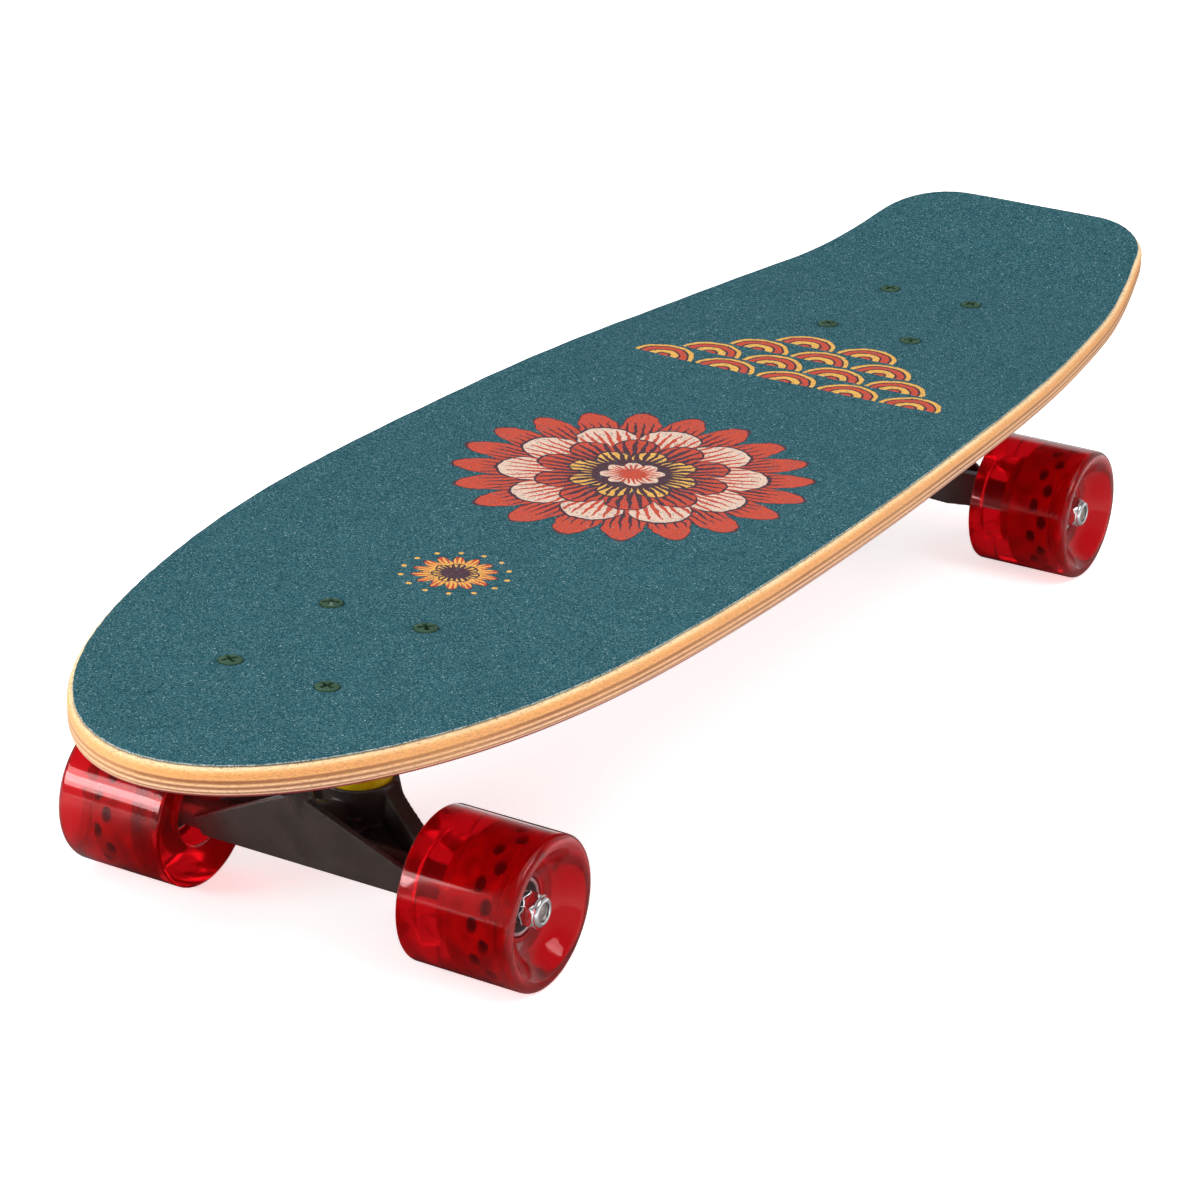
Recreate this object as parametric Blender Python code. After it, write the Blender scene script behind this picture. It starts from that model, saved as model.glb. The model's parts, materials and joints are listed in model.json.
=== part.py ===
# Cruiser skateboard: a kicktail maple deck on two standard kingpin trucks and four clear wheels.
# Metres. +X runs to the nose and +Z up. The wheels stand on z = 0, under the middle of the deck's length.
# A truck is worked out in its own frame: the axle at the origin, +X outboard, +Z up to the deck.

import math

import bmesh
import bpy
from mathutils import Matrix, Vector

# Clearance between pieces that sit on or in each other
seat_gap = 0.0003

# Deck plan
deck_length = 0.724
deck_width = 0.216
widest_from_nose = 0.287
nose_fullness = 2.35
tail_taper_reach = 0.527
tail_corner_radius = 0.036

# Deck section: glued plies, their rounded edge, the grip sheet on top
ply_thickness = 0.0015
ply_count = 7
edge_inset = 0.0020
edge_height = 0.0024
edge_shoulder_inset = 0.0006
edge_shoulder_height = 0.00085
grip_thickness = 0.0007

# Deck shape: kicktail behind the rear holes, shallow concave between the trucks
kick_start = 0.0445
kick_bend_radius = 0.240
kick_angle = math.radians(14.3)
concave_rise = 0.0032
concave_flat_width = 0.060
concave_fade = 0.160
concave_past_holes = 0.036
concave_before_holes = 0.006

# Truck places on the deck, measured at the centres of their hole patterns
nose_overhang = 0.1154
truck_spacing = 0.463
axle_outboard_of_holes = 0.0053

# Truck bolts and their pattern
hole_spacing_long = 0.0635
hole_spacing_wide = 0.0413
bolt_diameter = 0.0048
bolt_head_diameter = 0.0096
bolt_head_depth = 0.0029
bolt_head_sunk = 0.0001
cross_recess_length = 0.0060
cross_recess_width = 0.0011
cross_recess_depth = 0.0014
locknut_across_flats = 0.0095
locknut_height = 0.0050
bolt_past_nut = 0.0020

# Riser pad and baseplate
riser_thickness = 0.0127
truck_height = 0.0536
plate_thickness = 0.0050
plate_past_holes = 0.0100
plate_beside_holes = 0.0080
plate_corner_radius = 0.0090
kingpin_boss_radius = 0.0140
pivot_boss_wall = 0.0032
boss_rib_width = 0.0080
boss_rib_depth = 0.0090

# Kingpin stack: its tilt, and the middle of the hanger's ring
kingpin_tilt = math.radians(20)
ring_inboard = 0.0277
ring_rise = 0.0113
kingpin_diameter = 0.0095
kingpin_head_across_flats = 0.0140
kingpin_head_height = 0.0060
kingpin_head_sunk = 0.0040
kingpin_past_nut = 0.0020
thread_chamfer = 0.0008
kingpin_nut_across_flats = 0.0143
kingpin_nut_height = 0.0090
bushing_diameter = 0.0250
board_bushing_height = 0.0150
road_bushing_height = 0.0110
road_bushing_end_diameter = 0.0205
bushing_edge = 0.0009
washer_thickness = 0.0015
washer_rim_height = 0.0017
washer_rim_wall = 0.0013

# Pivot: the ball of the hanger's stem in its cup
pivot_outboard = 0.0220
pivot_below_plate_top = 0.0116
pivot_ball_radius = 0.0052
pivot_neck_radius = 0.0042
pivot_cup_wall = 0.0018
pivot_cup_length = 0.0058
pivot_mouth_widening = 0.0009
ball_waist_top = 0.0016
ball_waist_middle = 0.0060
ball_waist_bottom = 0.0083
stem_taper_end = 0.0125
stem_root_outboard = 0.0080
stem_root_rise = 0.0160
stem_root_radius = 0.0048
stem_back_reach = 0.0038

# Hanger
hanger_width = 0.1226
housing_radius = 0.0075
housing_end_radius = 0.0068
housing_full_half = 0.0276
housing_taper_half = 0.0460
ring_web_thickness = 0.0080
ring_cup_depth = 0.0040
ring_wall = 0.0017
ring_foot_wall = 0.0015
ring_rim_rise = 0.0193
ring_hole_clearance = 0.0016
face_low_outboard = 0.0057
face_low_drop = 0.0068
face_low_width = 0.0975
face_end_width = 0.1040
face_end_rise = 0.0008
face_top_outboard = 0.0170
face_top_rise = 0.0265
face_top_width = 0.0070
face_plate_thickness = 0.0034
arm_wall = 0.0070
arm_past_ring = 0.0025
arm_end_inboard = 0.0058
middle_half_width = 0.0120
middle_depth = 0.0064
middle_rise = 0.0060
rib_thickness = 0.0060
# Along the arm from the ring to the housing's end: share of the way, top and bottom over the axle
arm_sections = (
    (-0.06, ring_rim_rise, 0.0033),
    (0.09, 0.0161, 0.0025),
    (0.24, 0.0146, 0),
    (0.55, 0.0124, -0.0034),
    (1, 0.0094, -0.0054),
)
floor_thickness = 0.0034
floor_inboard = 0.0240
floor_inboard_half = 0.0175
floor_inboard_rise = 0.0036
floor_end_half = 0.0465
floor_end_drop = 0.0020
# Round recess in the floor, in which the road bushing and its washer stay clear as the hanger swings
swing_radius = 0.0150
swing_full_depth = 0.0155
swing_reach = 0.0320

# Axle, bearings and wheels
axle_diameter = 0.0079
axle_past_nut = 0.0006
speed_washer_thickness = 0.0010
speed_washer_radius = 0.0062
axle_nut_across_flats = 0.0127
axle_nut_height = 0.0060
axle_nut_collar_height = 0.0010
axle_nut_collar_diameter = 0.0117
axle_nut_collar_rounding = 0.0008
bearing_diameter = 0.0220
bearing_width = 0.0070
bearing_spacing = 0.0100
spacer_wall = 0.0014
wheel_diameter = 0.0590
wheel_width = 0.0470
wheel_lip_radius = 0.0030
wheel_rim_width = 0.0020
wheel_dish_radius = 0.0180
wheel_dish_depth = 0.0088
wheel_inner_lip_radius = 0.0012
wheel_inner_dish_depth = 0.0024
core_wall = 0.0021
core_land_radius = 0.0065
core_drum_radius = 0.0195
core_drum_width = 0.0185
core_drum_offset = 0.0023
core_window_count = 8
core_window_radius = 0.0020
core_window_depth = 0.0030
core_window_offset = 0.0070

# Facets round each turned piece
tread_facets = 32
core_facets = 16
bearing_facets = 16
ring_facets = 32
bushing_facets = 16
bolt_facets = 12
axle_facets = 12
core_window_sides = 6
nose_steps = 11
side_steps = 12
corner_steps = 4

# Worked out from the sizes above
nose_x = deck_length / 2
tail_x = -deck_length / 2
widest_x = nose_x - widest_from_nose
front_holes_x = nose_x - nose_overhang
rear_holes_x = front_holes_x - truck_spacing
wheel_radius = wheel_diameter / 2
axle_height = wheel_radius * math.cos(math.pi / tread_facets)
deck_thickness = ply_thickness * ply_count
deck_bottom = axle_height + truck_height + seat_gap + riser_thickness + seat_gap
deck_top = deck_bottom + deck_thickness
grip_bottom = deck_top + seat_gap
grip_top = grip_bottom + grip_thickness
axle_radius = axle_diameter / 2
bore_radius = axle_radius + seat_gap
bearing_seat_radius = bearing_diameter / 2 + seat_gap
wheel_track_half = (
    hanger_width / 2 + seat_gap + speed_washer_thickness + seat_gap + bearing_width + bearing_spacing / 2
)
core_half = bearing_spacing / 2 + bearing_width + seat_gap
plate_length = hole_spacing_long + 2 * plate_past_holes
plate_width = hole_spacing_wide + 2 * plate_beside_holes
plate_bottom = truck_height - plate_thickness
bolt_hole_radius = bolt_diameter / 2 + seat_gap
kingpin_hole_radius = kingpin_diameter / 2 + seat_gap
ring_outer_radius = bushing_diameter / 2 + seat_gap + ring_wall
ring_half = ring_web_thickness / 2 + ring_cup_depth
bushing_seat = ring_web_thickness / 2 + seat_gap
ring_centre = Vector((-ring_inboard, 0, ring_rise))
pivot_centre = Vector((pivot_outboard, 0, truck_height - pivot_below_plate_top))
stem_root = Vector((stem_root_outboard, 0, stem_root_rise))
stem_axis = (pivot_centre - stem_root).normalized()


# Building blocks

def clear_scene():
    for obj in list(bpy.data.objects):
        bpy.data.objects.remove(obj)


def paint(name, colour, roughness, metallic=0.0, clear=0.0):
    found = bpy.data.materials.get(name)
    if found:
        return found
    material = bpy.data.materials.new(name)
    material.use_nodes = True
    shader = material.node_tree.nodes["Principled BSDF"]
    shader.inputs["Base Color"].default_value = (*colour, 1)
    shader.inputs["Roughness"].default_value = roughness
    shader.inputs["Metallic"].default_value = metallic
    shader.inputs["Transmission Weight"].default_value = clear
    material.diffuse_color = (*colour, 1)
    return material


def solid(name, bm, matrix=Matrix()):
    bmesh.ops.recalc_face_normals(bm, faces=bm.faces)
    bmesh.ops.transform(bm, matrix=matrix, verts=bm.verts)
    mesh = bpy.data.meshes.new(name)
    bm.to_mesh(mesh)
    bm.free()
    obj = bpy.data.objects.new(name, mesh)
    bpy.context.scene.collection.objects.link(obj)
    return obj


def turned(profile, facets, closed=False, turn=0.0):
    # The profile's (radius, height) points swept round Z. A closed profile gives a ring with a bore.
    bm = bmesh.new()
    points = [bm.verts.new((radius, 0, height)) for radius, height in profile]
    pairs = list(zip(points, points[1:]))
    if closed:
        pairs.append((points[-1], points[0]))
    edges = [bm.edges.new(pair) for pair in pairs]
    bmesh.ops.rotate(bm, cent=(0, 0, 0), matrix=Matrix.Rotation(turn, 3, "Z"), verts=bm.verts)
    bmesh.ops.spin(
        bm, geom=points + edges, cent=(0, 0, 0), axis=(0, 0, 1), angle=2 * math.pi, steps=facets,
        use_merge=True
    )
    bmesh.ops.remove_doubles(bm, verts=bm.verts, dist=1e-6)
    return bm


def rod(radius, low, high, facets, turn=0.0):
    return turned([(0, low), (radius, low), (radius, high), (0, high)], facets, turn=turn)


def prism(outline, low, high):
    # An (x, y) outline extruded from low to high.
    bm = bmesh.new()
    base = bm.faces.new([bm.verts.new((x, y, low)) for x, y in outline])
    top = bmesh.ops.extrude_face_region(bm, geom=[base])["geom"]
    raised = [item for item in top if isinstance(item, bmesh.types.BMVert)]
    bmesh.ops.translate(bm, vec=(0, 0, high - low), verts=raised)
    return bm


def hexagon(across_flats):
    corner = across_flats / math.sqrt(3)
    return [(corner * math.cos(k * math.pi / 3), corner * math.sin(k * math.pi / 3)) for k in range(6)]


def rounded_rectangle(length, width, radius, steps=3):
    points = []
    for quarter, (side_x, side_y) in enumerate(((1, 1), (-1, 1), (-1, -1), (1, -1))):
        for step in range(steps + 1):
            angle = math.pi / 2 * (quarter + step / steps)
            x = side_x * (length / 2 - radius) + radius * math.cos(angle)
            y = side_y * (width / 2 - radius) + radius * math.sin(angle)
            points.append((x, y))
    return points


def block(low, high):
    # A box between two corners.
    corners = [(low[0], low[1]), (high[0], low[1]), (high[0], high[1]), (low[0], high[1])]
    return prism(corners, low[2], high[2])


def hull(points):
    bm = bmesh.new()
    verts = [bm.verts.new(point) for point in points]
    made = bmesh.ops.convex_hull(bm, input=verts)
    inside = [item for item in made["geom_interior"] + made["geom_unused"] if item.is_valid]
    bmesh.ops.delete(bm, geom=list(set(inside)), context="VERTS")
    return bm


def combine(obj, tool, operation):
    # Joins, cuts or trims obj with tool, which is used up.
    bpy.context.view_layer.update()
    modifier = obj.modifiers.new(operation.title(), "BOOLEAN")
    modifier.operation = operation
    modifier.solver = "EXACT"
    modifier.object = tool
    graph = bpy.context.evaluated_depsgraph_get()
    mesh = bpy.data.meshes.new_from_object(obj.evaluated_get(graph))
    obj.modifiers.clear()
    old = obj.data
    obj.data = mesh
    mesh.name = obj.name
    bpy.data.meshes.remove(old)
    bpy.data.objects.remove(tool)


def join(obj, bm, matrix=Matrix()):
    combine(obj, solid("tool", bm, matrix), "UNION")


def cut(obj, bm, matrix=Matrix()):
    combine(obj, solid("tool", bm, matrix), "DIFFERENCE")


def finish(obj, material, parent=None, origin=Vector()):
    # Moves the origin, hangs the piece on its empty and shades its round faces smooth.
    obj.data.transform(Matrix.Translation(-origin))
    obj.parent = parent
    obj.data.materials.clear()
    obj.data.materials.append(material)
    obj.data.shade_smooth()
    obj.data.set_sharp_from_angle(angle=math.radians(35))
    return obj


def empty(name, location, parent=None, rotation=(0, 0, 0)):
    obj = bpy.data.objects.new(name, None)
    obj.location = location
    obj.rotation_euler = rotation
    obj.parent = parent
    bpy.context.scene.collection.objects.link(obj)
    return obj


# Frames on a truck: heights along the kingpin from the ring's middle, and along the pivot stem from its ball

def kingpin_frame():
    return Matrix.Translation(ring_centre) @ Matrix.Rotation(kingpin_tilt, 4, "Y")


def stem_frame():
    lean = math.atan2(stem_axis.x, stem_axis.z)
    return Matrix.Translation(pivot_centre) @ Matrix.Rotation(lean, 4, "Y")


def bolt_places():
    middle = -axle_outboard_of_holes
    for along in (0.5, -0.5):
        for across in (0.5, -0.5):
            yield middle + along * hole_spacing_long, across * hole_spacing_wide


# Deck and grip

def smooth_step(value):
    value = min(max(value, 0), 1)
    return value * value * (3 - 2 * value)


def kick_height(x):
    past = rear_holes_x - kick_start - x
    bend = kick_bend_radius * math.sin(kick_angle)
    if past <= 0:
        return 0
    if past < bend:
        return kick_bend_radius - math.sqrt(kick_bend_radius ** 2 - past ** 2)
    return kick_bend_radius * (1 - math.cos(kick_angle)) + (past - bend) * math.tan(kick_angle)


def concave_height(x, y, edge):
    flat = concave_flat_width / 2
    if abs(y) <= flat or edge <= flat:
        return 0
    behind = smooth_step((x - rear_holes_x - concave_before_holes) / concave_fade)
    ahead = smooth_step((front_holes_x + concave_past_holes - x) / concave_fade)
    return concave_rise * behind * ahead * ((abs(y) - flat) / (deck_width / 2 - flat)) ** 2


def side_point(x):
    # Half width and outward normal of the long tapering side, at x behind the widest place.
    back = (widest_x - x) / tail_taper_reach
    half = deck_width / 2 * math.sqrt(1 - back * back)
    normal = Vector((-2 * back / tail_taper_reach, 2 * half / (deck_width / 2) ** 2)).normalized()
    return half, normal


def corner_start():
    # Where the tail's corner arc leaves the side: the arc's centre lies one radius in from side and tail end.
    low, high = tail_x, widest_x
    for _ in range(60):
        x = (low + high) / 2
        half, normal = side_point(x)
        if x - tail_corner_radius * normal.x > tail_x + tail_corner_radius:
            high = x
        else:
            low = x
    return high


def outline():
    # One side's points from the nose tip to the tail end, each with its outward normal.
    points = []
    reach = nose_x - widest_x
    for step in range(nose_steps):
        angle = math.pi / 2 * (1 - step / nose_steps)
        along = math.sin(angle) ** (2 / nose_fullness)
        half = deck_width / 2 * math.cos(angle)
        slope = nose_fullness * along ** (nose_fullness - 1) / reach
        normal = Vector((slope, 2 * half / (deck_width / 2) ** 2)).normalized()
        points.append((Vector((widest_x + reach * along, half)), normal))
    last = corner_start()
    for step in range(side_steps):
        x = widest_x + (last - widest_x) * step / side_steps
        half, normal = side_point(x)
        points.append((Vector((x, half)), normal))
    half, normal = side_point(last)
    centre = Vector((last, half)) - tail_corner_radius * normal
    first = math.atan2(normal.y, normal.x)
    for step in range(corner_steps + 1):
        angle = first + (math.pi - first) * step / corner_steps
        normal = Vector((math.cos(angle), math.sin(angle)))
        points.append((centre + tail_corner_radius * normal, normal))
    return points


def columns(half):
    # Places across one station: the flat middle, then three steps out to each edge.
    flat = min(concave_flat_width / 2, 0.45 * half)
    outer = [flat + (half - flat) * step / 3 for step in range(4)]
    return [-value for value in reversed(outer)] + [0] + outer


def board_sheet(name, top, thickness, edge_profile):
    # A sheet that follows the deck's shape: a grid of stations on both faces, and between them the rows of
    # its edge profile, each an (inset from the deck's plan, depth under the top).
    bm = bmesh.new()
    sides = [(point - edge_inset * normal, normal) for point, normal in outline()]
    tip = sides[0][0]

    def height(x, y, edge):
        return top + kick_height(x) + concave_height(x, y, edge)

    def grid(drop):
        rows = []
        for point, _ in sides[1:]:
            rows.append([
                bm.verts.new((point.x, y, height(point.x, y, point.y) - drop)) for y in columns(point.y)
            ])
        point_tip = bm.verts.new((tip.x, 0, height(tip.x, 0, 0) - drop))
        for left, right in zip(rows[0], rows[0][1:]):
            bm.faces.new((point_tip, left, right))
        for near, far in zip(rows, rows[1:]):
            for index in range(len(near) - 1):
                bm.faces.new((near[index], near[index + 1], far[index + 1], far[index]))
        right = [row[0] for row in rows]
        left = [row[-1] for row in rows]
        return [point_tip] + left + rows[-1][-2:0:-1] + right[::-1]

    rim = grid(0)
    floor = grid(thickness)
    normals = [sides[0][1]] + [normal for _, normal in sides[1:]]
    tail_row = [Vector((-1, 0))] * (len(rim) - 2 * len(sides) + 1)
    mirrored = [Vector((normal.x, -normal.y)) for normal in reversed(normals[1:])]
    outward = normals + tail_row + mirrored
    above = rim
    for inset, depth in edge_profile:
        ring = []
        for vert, normal in zip(rim, outward):
            shift = (edge_inset - inset) * normal
            ring.append(bm.verts.new((vert.co.x + shift.x, vert.co.y + shift.y, vert.co.z - depth)))
        for index in range(len(ring)):
            after = (index + 1) % len(ring)
            bm.faces.new((above[index], above[after], ring[after], ring[index]))
        above = ring
    for index in range(len(floor)):
        after = (index + 1) % len(floor)
        bm.faces.new((above[index], above[after], floor[after], floor[index]))
    return solid(name, bm)


def sunk_bolt_profile(grow, top, low):
    # Half section of a countersunk bolt, grown by a clearance for its hole.
    head = bolt_head_diameter / 2 + grow
    shank = bolt_diameter / 2 + grow
    shoulder = grip_top - bolt_head_sunk - bolt_head_depth
    seat = grip_top - bolt_head_sunk
    return [(0, low), (shank, low), (shank, shoulder), (head, seat), (head, top), (0, top)]


def cut_bolt_holes(sheet):
    profile = sunk_bolt_profile(seat_gap, grip_top + deck_thickness, deck_bottom - deck_thickness)
    for place, turn in ((front_axle_x(), 0), (rear_axle_x(), math.pi)):
        truck = Matrix.Translation((place, 0, 0)) @ Matrix.Rotation(turn, 4, "Z")
        for x, y in bolt_places():
            cut(sheet, turned(profile, bolt_facets), truck @ Matrix.Translation((x, y, 0)))


def front_axle_x():
    return front_holes_x + axle_outboard_of_holes


def rear_axle_x():
    return rear_holes_x - axle_outboard_of_holes


def make_deck():
    edge = [
        (edge_shoulder_inset, edge_shoulder_height),
        (0, edge_height),
        (0, deck_thickness - edge_height),
        (edge_shoulder_inset, deck_thickness - edge_shoulder_height),
    ]
    deck = board_sheet("deck", deck_top, deck_thickness, edge)
    cut_bolt_holes(deck)
    finish(deck, paint("maple", (0.72, 0.46, 0.23), 0.45))
    grip = board_sheet("grip_tape", grip_top, grip_thickness, [])
    cut_bolt_holes(grip)
    finish(grip, paint("grit", (0.027, 0.115, 0.145), 0.9))


# Truck pieces that stay with the deck

def make_riser(end, truck):
    outline_points = rounded_rectangle(plate_length, plate_width, plate_corner_radius)
    low = truck_height + seat_gap
    middle = Matrix.Translation((-axle_outboard_of_holes, 0, 0))
    riser = solid(f"riser_pad_{end}", prism(outline_points, low, low + riser_thickness), middle)
    for x, y in bolt_places():
        drill = rod(bolt_hole_radius, low - riser_thickness, low + 2 * riser_thickness, bolt_facets)
        cut(riser, drill, Matrix.Translation((x, y, 0)))
    finish(riser, paint("riser rubber", (0.02, 0.02, 0.022), 0.7), truck)


def plate_along_kingpin():
    # Distance along the kingpin from the ring's middle to the baseplate's mounting face.
    return (truck_height - ring_centre.z) / math.cos(kingpin_tilt)


def kingpin_seat():
    # Where the upper washer meets the baseplate's boss.
    return bushing_seat + board_bushing_height + seat_gap + washer_thickness + seat_gap


def kingpin_head_seat():
    return plate_along_kingpin() - kingpin_head_sunk - kingpin_head_height


def make_baseplate(end, truck):
    middle = Matrix.Translation((-axle_outboard_of_holes, 0, 0))
    outline_points = rounded_rectangle(plate_length, plate_width, plate_corner_radius)
    plate = solid(f"baseplate_{end}", prism(outline_points, plate_bottom, truck_height), middle)
    boss = rod(kingpin_boss_radius, kingpin_seat(), plate_along_kingpin(), ring_facets)
    join(plate, boss, kingpin_frame())
    cup_radius = pivot_ball_radius + seat_gap + pivot_cup_wall
    boss_radius = cup_radius + seat_gap + pivot_boss_wall
    boss = rod(boss_radius, -pivot_cup_length, pivot_below_plate_top, bearing_facets)
    join(plate, boss, stem_frame())
    rib_low = plate_bottom - boss_rib_depth
    rib_from = ring_centre.x + math.tan(kingpin_tilt) * (rib_low - ring_centre.z)
    rib = block(
        (rib_from, -boss_rib_width / 2, rib_low),
        (pivot_centre.x, boss_rib_width / 2, truck_height - plate_thickness / 2),
    )
    join(plate, rib)
    far = (plate_length, plate_width, 2 * truck_height)
    cut(plate, block((-plate_length, -plate_width, truck_height), far))
    cut(plate, block((plate_length / 2 - axle_outboard_of_holes, -plate_width, 0), far))
    cut(plate, rod(kingpin_hole_radius, 0, 2 * plate_along_kingpin(), bushing_facets), kingpin_frame())
    recess = hexagon(kingpin_head_across_flats + 2 * seat_gap)
    recess_low = kingpin_head_seat() - seat_gap
    cut(plate, prism(recess, recess_low, 2 * plate_along_kingpin()), kingpin_frame())
    cup_bore_end = cup_radius + seat_gap
    cut(plate, rod(cup_radius + seat_gap, -2 * pivot_cup_length, cup_bore_end, bearing_facets), stem_frame())
    for x, y in bolt_places():
        cut(plate, rod(bolt_hole_radius, 0, 2 * truck_height, bolt_facets), Matrix.Translation((x, y, 0)))
    finish(plate, paint("cast aluminium", (0.05, 0.05, 0.055), 0.5, 0.6), truck)


def make_pivot_cup(end, truck):
    inner = pivot_ball_radius + seat_gap
    outer = inner + pivot_cup_wall
    dome = [
        (inner * math.sin(angle), inner * math.cos(angle))
        for angle in (0, math.radians(30), math.radians(60), math.radians(90))
    ]
    mouth = [(inner, -pivot_cup_length / 2), (inner + pivot_mouth_widening, -pivot_cup_length)]
    profile = dome + mouth + [(outer, -pivot_cup_length), (outer, outer), (0, outer)]
    cup = solid(f"pivot_cup_{end}", turned(profile, bearing_facets), stem_frame())
    finish(cup, paint("black urethane", (0.02, 0.02, 0.02), 0.5), truck)


def kingpin_nut_top():
    return -(bushing_seat + road_bushing_height + seat_gap + washer_thickness + seat_gap)


def make_kingpin(end, truck):
    steel = paint("zinc steel", (0.6, 0.6, 0.62), 0.3, 1.0)
    head_seat = kingpin_head_seat()
    tip = kingpin_nut_top() - kingpin_nut_height - kingpin_past_nut
    shank = kingpin_diameter / 2
    pin = solid(
        f"kingpin_{end}",
        turned([
            (0, tip), (shank - thread_chamfer, tip), (shank, tip + thread_chamfer),
            (shank, head_seat + kingpin_head_height / 2), (0, head_seat + kingpin_head_height / 2),
        ], bushing_facets),
        kingpin_frame(),
    )
    head = prism(hexagon(kingpin_head_across_flats), head_seat, head_seat + kingpin_head_height)
    join(pin, head, kingpin_frame())
    finish(pin, steel, truck)
    nut_top = kingpin_nut_top()
    nut = solid(
        f"kingpin_nut_{end}",
        prism(hexagon(kingpin_nut_across_flats), nut_top - kingpin_nut_height, nut_top),
        kingpin_frame(),
    )
    cut(nut, rod(kingpin_hole_radius, 2 * tip, 0, bushing_facets), kingpin_frame())
    finish(nut, steel, truck)


def make_bushings(end, truck):
    bore = kingpin_hole_radius
    wide = bushing_diameter / 2
    narrow = road_bushing_end_diameter / 2
    low = bushing_seat
    high = low + board_bushing_height
    board = [
        (bore, low), (wide - bushing_edge, low), (wide, low + bushing_edge),
        (wide, high - bushing_edge), (wide - bushing_edge, high), (bore, high),
    ]
    far = -low - road_bushing_height
    road = [
        (bore, far), (narrow - bushing_edge, far), (narrow, far + bushing_edge),
        (wide, -low - bushing_edge), (wide - bushing_edge, -low), (bore, -low),
    ]
    urethane = paint("yellow urethane", (0.75, 0.6, 0.02), 0.35)
    for name, profile in (("board", board), ("road", road)):
        bushing = solid(f"{name}_bushing_{end}", turned(profile, bushing_facets, True), kingpin_frame())
        finish(bushing, urethane, truck)


def washer_profile(end_radius, seat, towards):
    # A cup washer: a flat ring at seat with a rim round the bushing, which lies towards +1 or -1.
    bore = kingpin_hole_radius
    inner = end_radius + seat_gap
    outer = inner + washer_rim_wall
    back = seat - towards * washer_thickness
    rim = seat + towards * washer_rim_height
    return [(bore, seat), (inner, seat), (inner, rim), (outer, rim), (outer, back), (bore, back)]


def make_washers(end, truck):
    steel = paint("zinc steel", (0.6, 0.6, 0.62), 0.3, 1.0)
    top_seat = bushing_seat + board_bushing_height + seat_gap
    low_seat = -(bushing_seat + road_bushing_height + seat_gap)
    seats = (
        ("upper", washer_profile(bushing_diameter / 2, top_seat, -1)),
        ("lower", washer_profile(road_bushing_end_diameter / 2 + bushing_edge, low_seat, 1)),
    )
    for name, profile in seats:
        washer = solid(f"{name}_cup_washer_{end}", turned(profile, bushing_facets, True), kingpin_frame())
        finish(washer, steel, truck)


def make_bolts(end, truck):
    green = paint("olive zinc", (0.09, 0.1, 0.06), 0.4, 0.8)
    nut_high = plate_bottom - seat_gap
    nut_low = nut_high - locknut_height
    for number, (x, y) in enumerate(bolt_places(), 1):
        frame = Matrix.Translation((x, y, 0))
        top = grip_top - bolt_head_sunk
        low = axle_height + nut_low - bolt_past_nut
        head = bolt_head_diameter / 2
        shank = bolt_diameter / 2
        profile = [(0, low), (shank, low), (shank, top - bolt_head_depth), (head, top), (0, top)]
        down = Matrix.Translation((0, 0, -axle_height))
        bolt = solid(f"truck_bolt_{end}_{number}", turned(profile, bolt_facets), frame @ down)
        reach = cross_recess_length / 2
        for turn in (0, math.pi / 2):
            slot = block(
                (-reach, -cross_recess_width / 2, top - cross_recess_depth),
                (reach, cross_recess_width / 2, top + cross_recess_depth),
            )
            cut(bolt, slot, frame @ down @ Matrix.Rotation(turn, 4, "Z"))
        finish(bolt, green, truck)
        nut = solid(f"locknut_{end}_{number}", prism(hexagon(locknut_across_flats), nut_low, nut_high), frame)
        cut(nut, rod(bolt_hole_radius, 0, 2 * nut_high, bolt_facets), frame)
        finish(nut, green, truck)


# The hanger, which steers, and its axle

def hanger_face():
    # The flat three-cornered face outboard of the axle: its corners, and the same corners behind the plate.
    lean = (face_top_outboard - face_low_outboard) / (face_top_rise + face_low_drop)

    def corner(half, rise):
        return Vector((face_low_outboard + lean * (rise + face_low_drop), half, rise))

    front = []
    for half, rise in (
        (face_low_width / 2, -face_low_drop),
        (face_end_width / 2, face_end_rise),
        (face_top_width / 2, face_top_rise),
    ):
        front += [corner(half, rise), corner(-half, rise)]
    back = [point - Vector((face_plate_thickness, 0, 0)) for point in front]
    return hull(front + back)


def loft(sections):
    # Four-cornered sections joined one to the next, closed at both ends.
    bm = bmesh.new()
    rings = [[bm.verts.new(point) for point in section] for section in sections]
    bm.faces.new(rings[0])
    bm.faces.new(rings[-1][::-1])
    for near, far in zip(rings, rings[1:]):
        for index in range(4):
            after = (index + 1) % 4
            bm.faces.new((near[index], near[after], far[after], far[index]))
    return bm


def hanger_arm(side):
    # A wall from the ring's side to the axle housing's end. Its top falls away steeply beside the ring.
    start = Vector((ring_centre.x, ring_outer_radius + arm_past_ring))
    end = Vector((-arm_end_inboard, face_low_width / 2))
    along = (end - start).normalized()
    inward = Vector((along.y, -along.x)) * arm_wall
    sections = []
    for share, top, bottom in arm_sections:
        outer = start.lerp(end, share)
        inner = outer + inward
        sections.append([
            Vector((outer.x, side * outer.y, bottom)), Vector((inner.x, side * inner.y, bottom)),
            Vector((inner.x, side * inner.y, top)), Vector((outer.x, side * outer.y, top)),
        ])
    return loft(sections)


def hanger_floor():
    # A sloping slab that closes the pocket between the arms, the ring's foot and the housing.
    corners = []
    for x, half, rise in (
        (-floor_inboard, floor_inboard_half, floor_inboard_rise),
        (-arm_end_inboard, floor_end_half, -floor_end_drop),
        (0, floor_end_half, -floor_end_drop),
    ):
        for side in (1, -1):
            top = Vector((x, side * half, rise))
            corners += [top, top - Vector((0, 0, floor_thickness))]
    return hull(corners)


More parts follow.
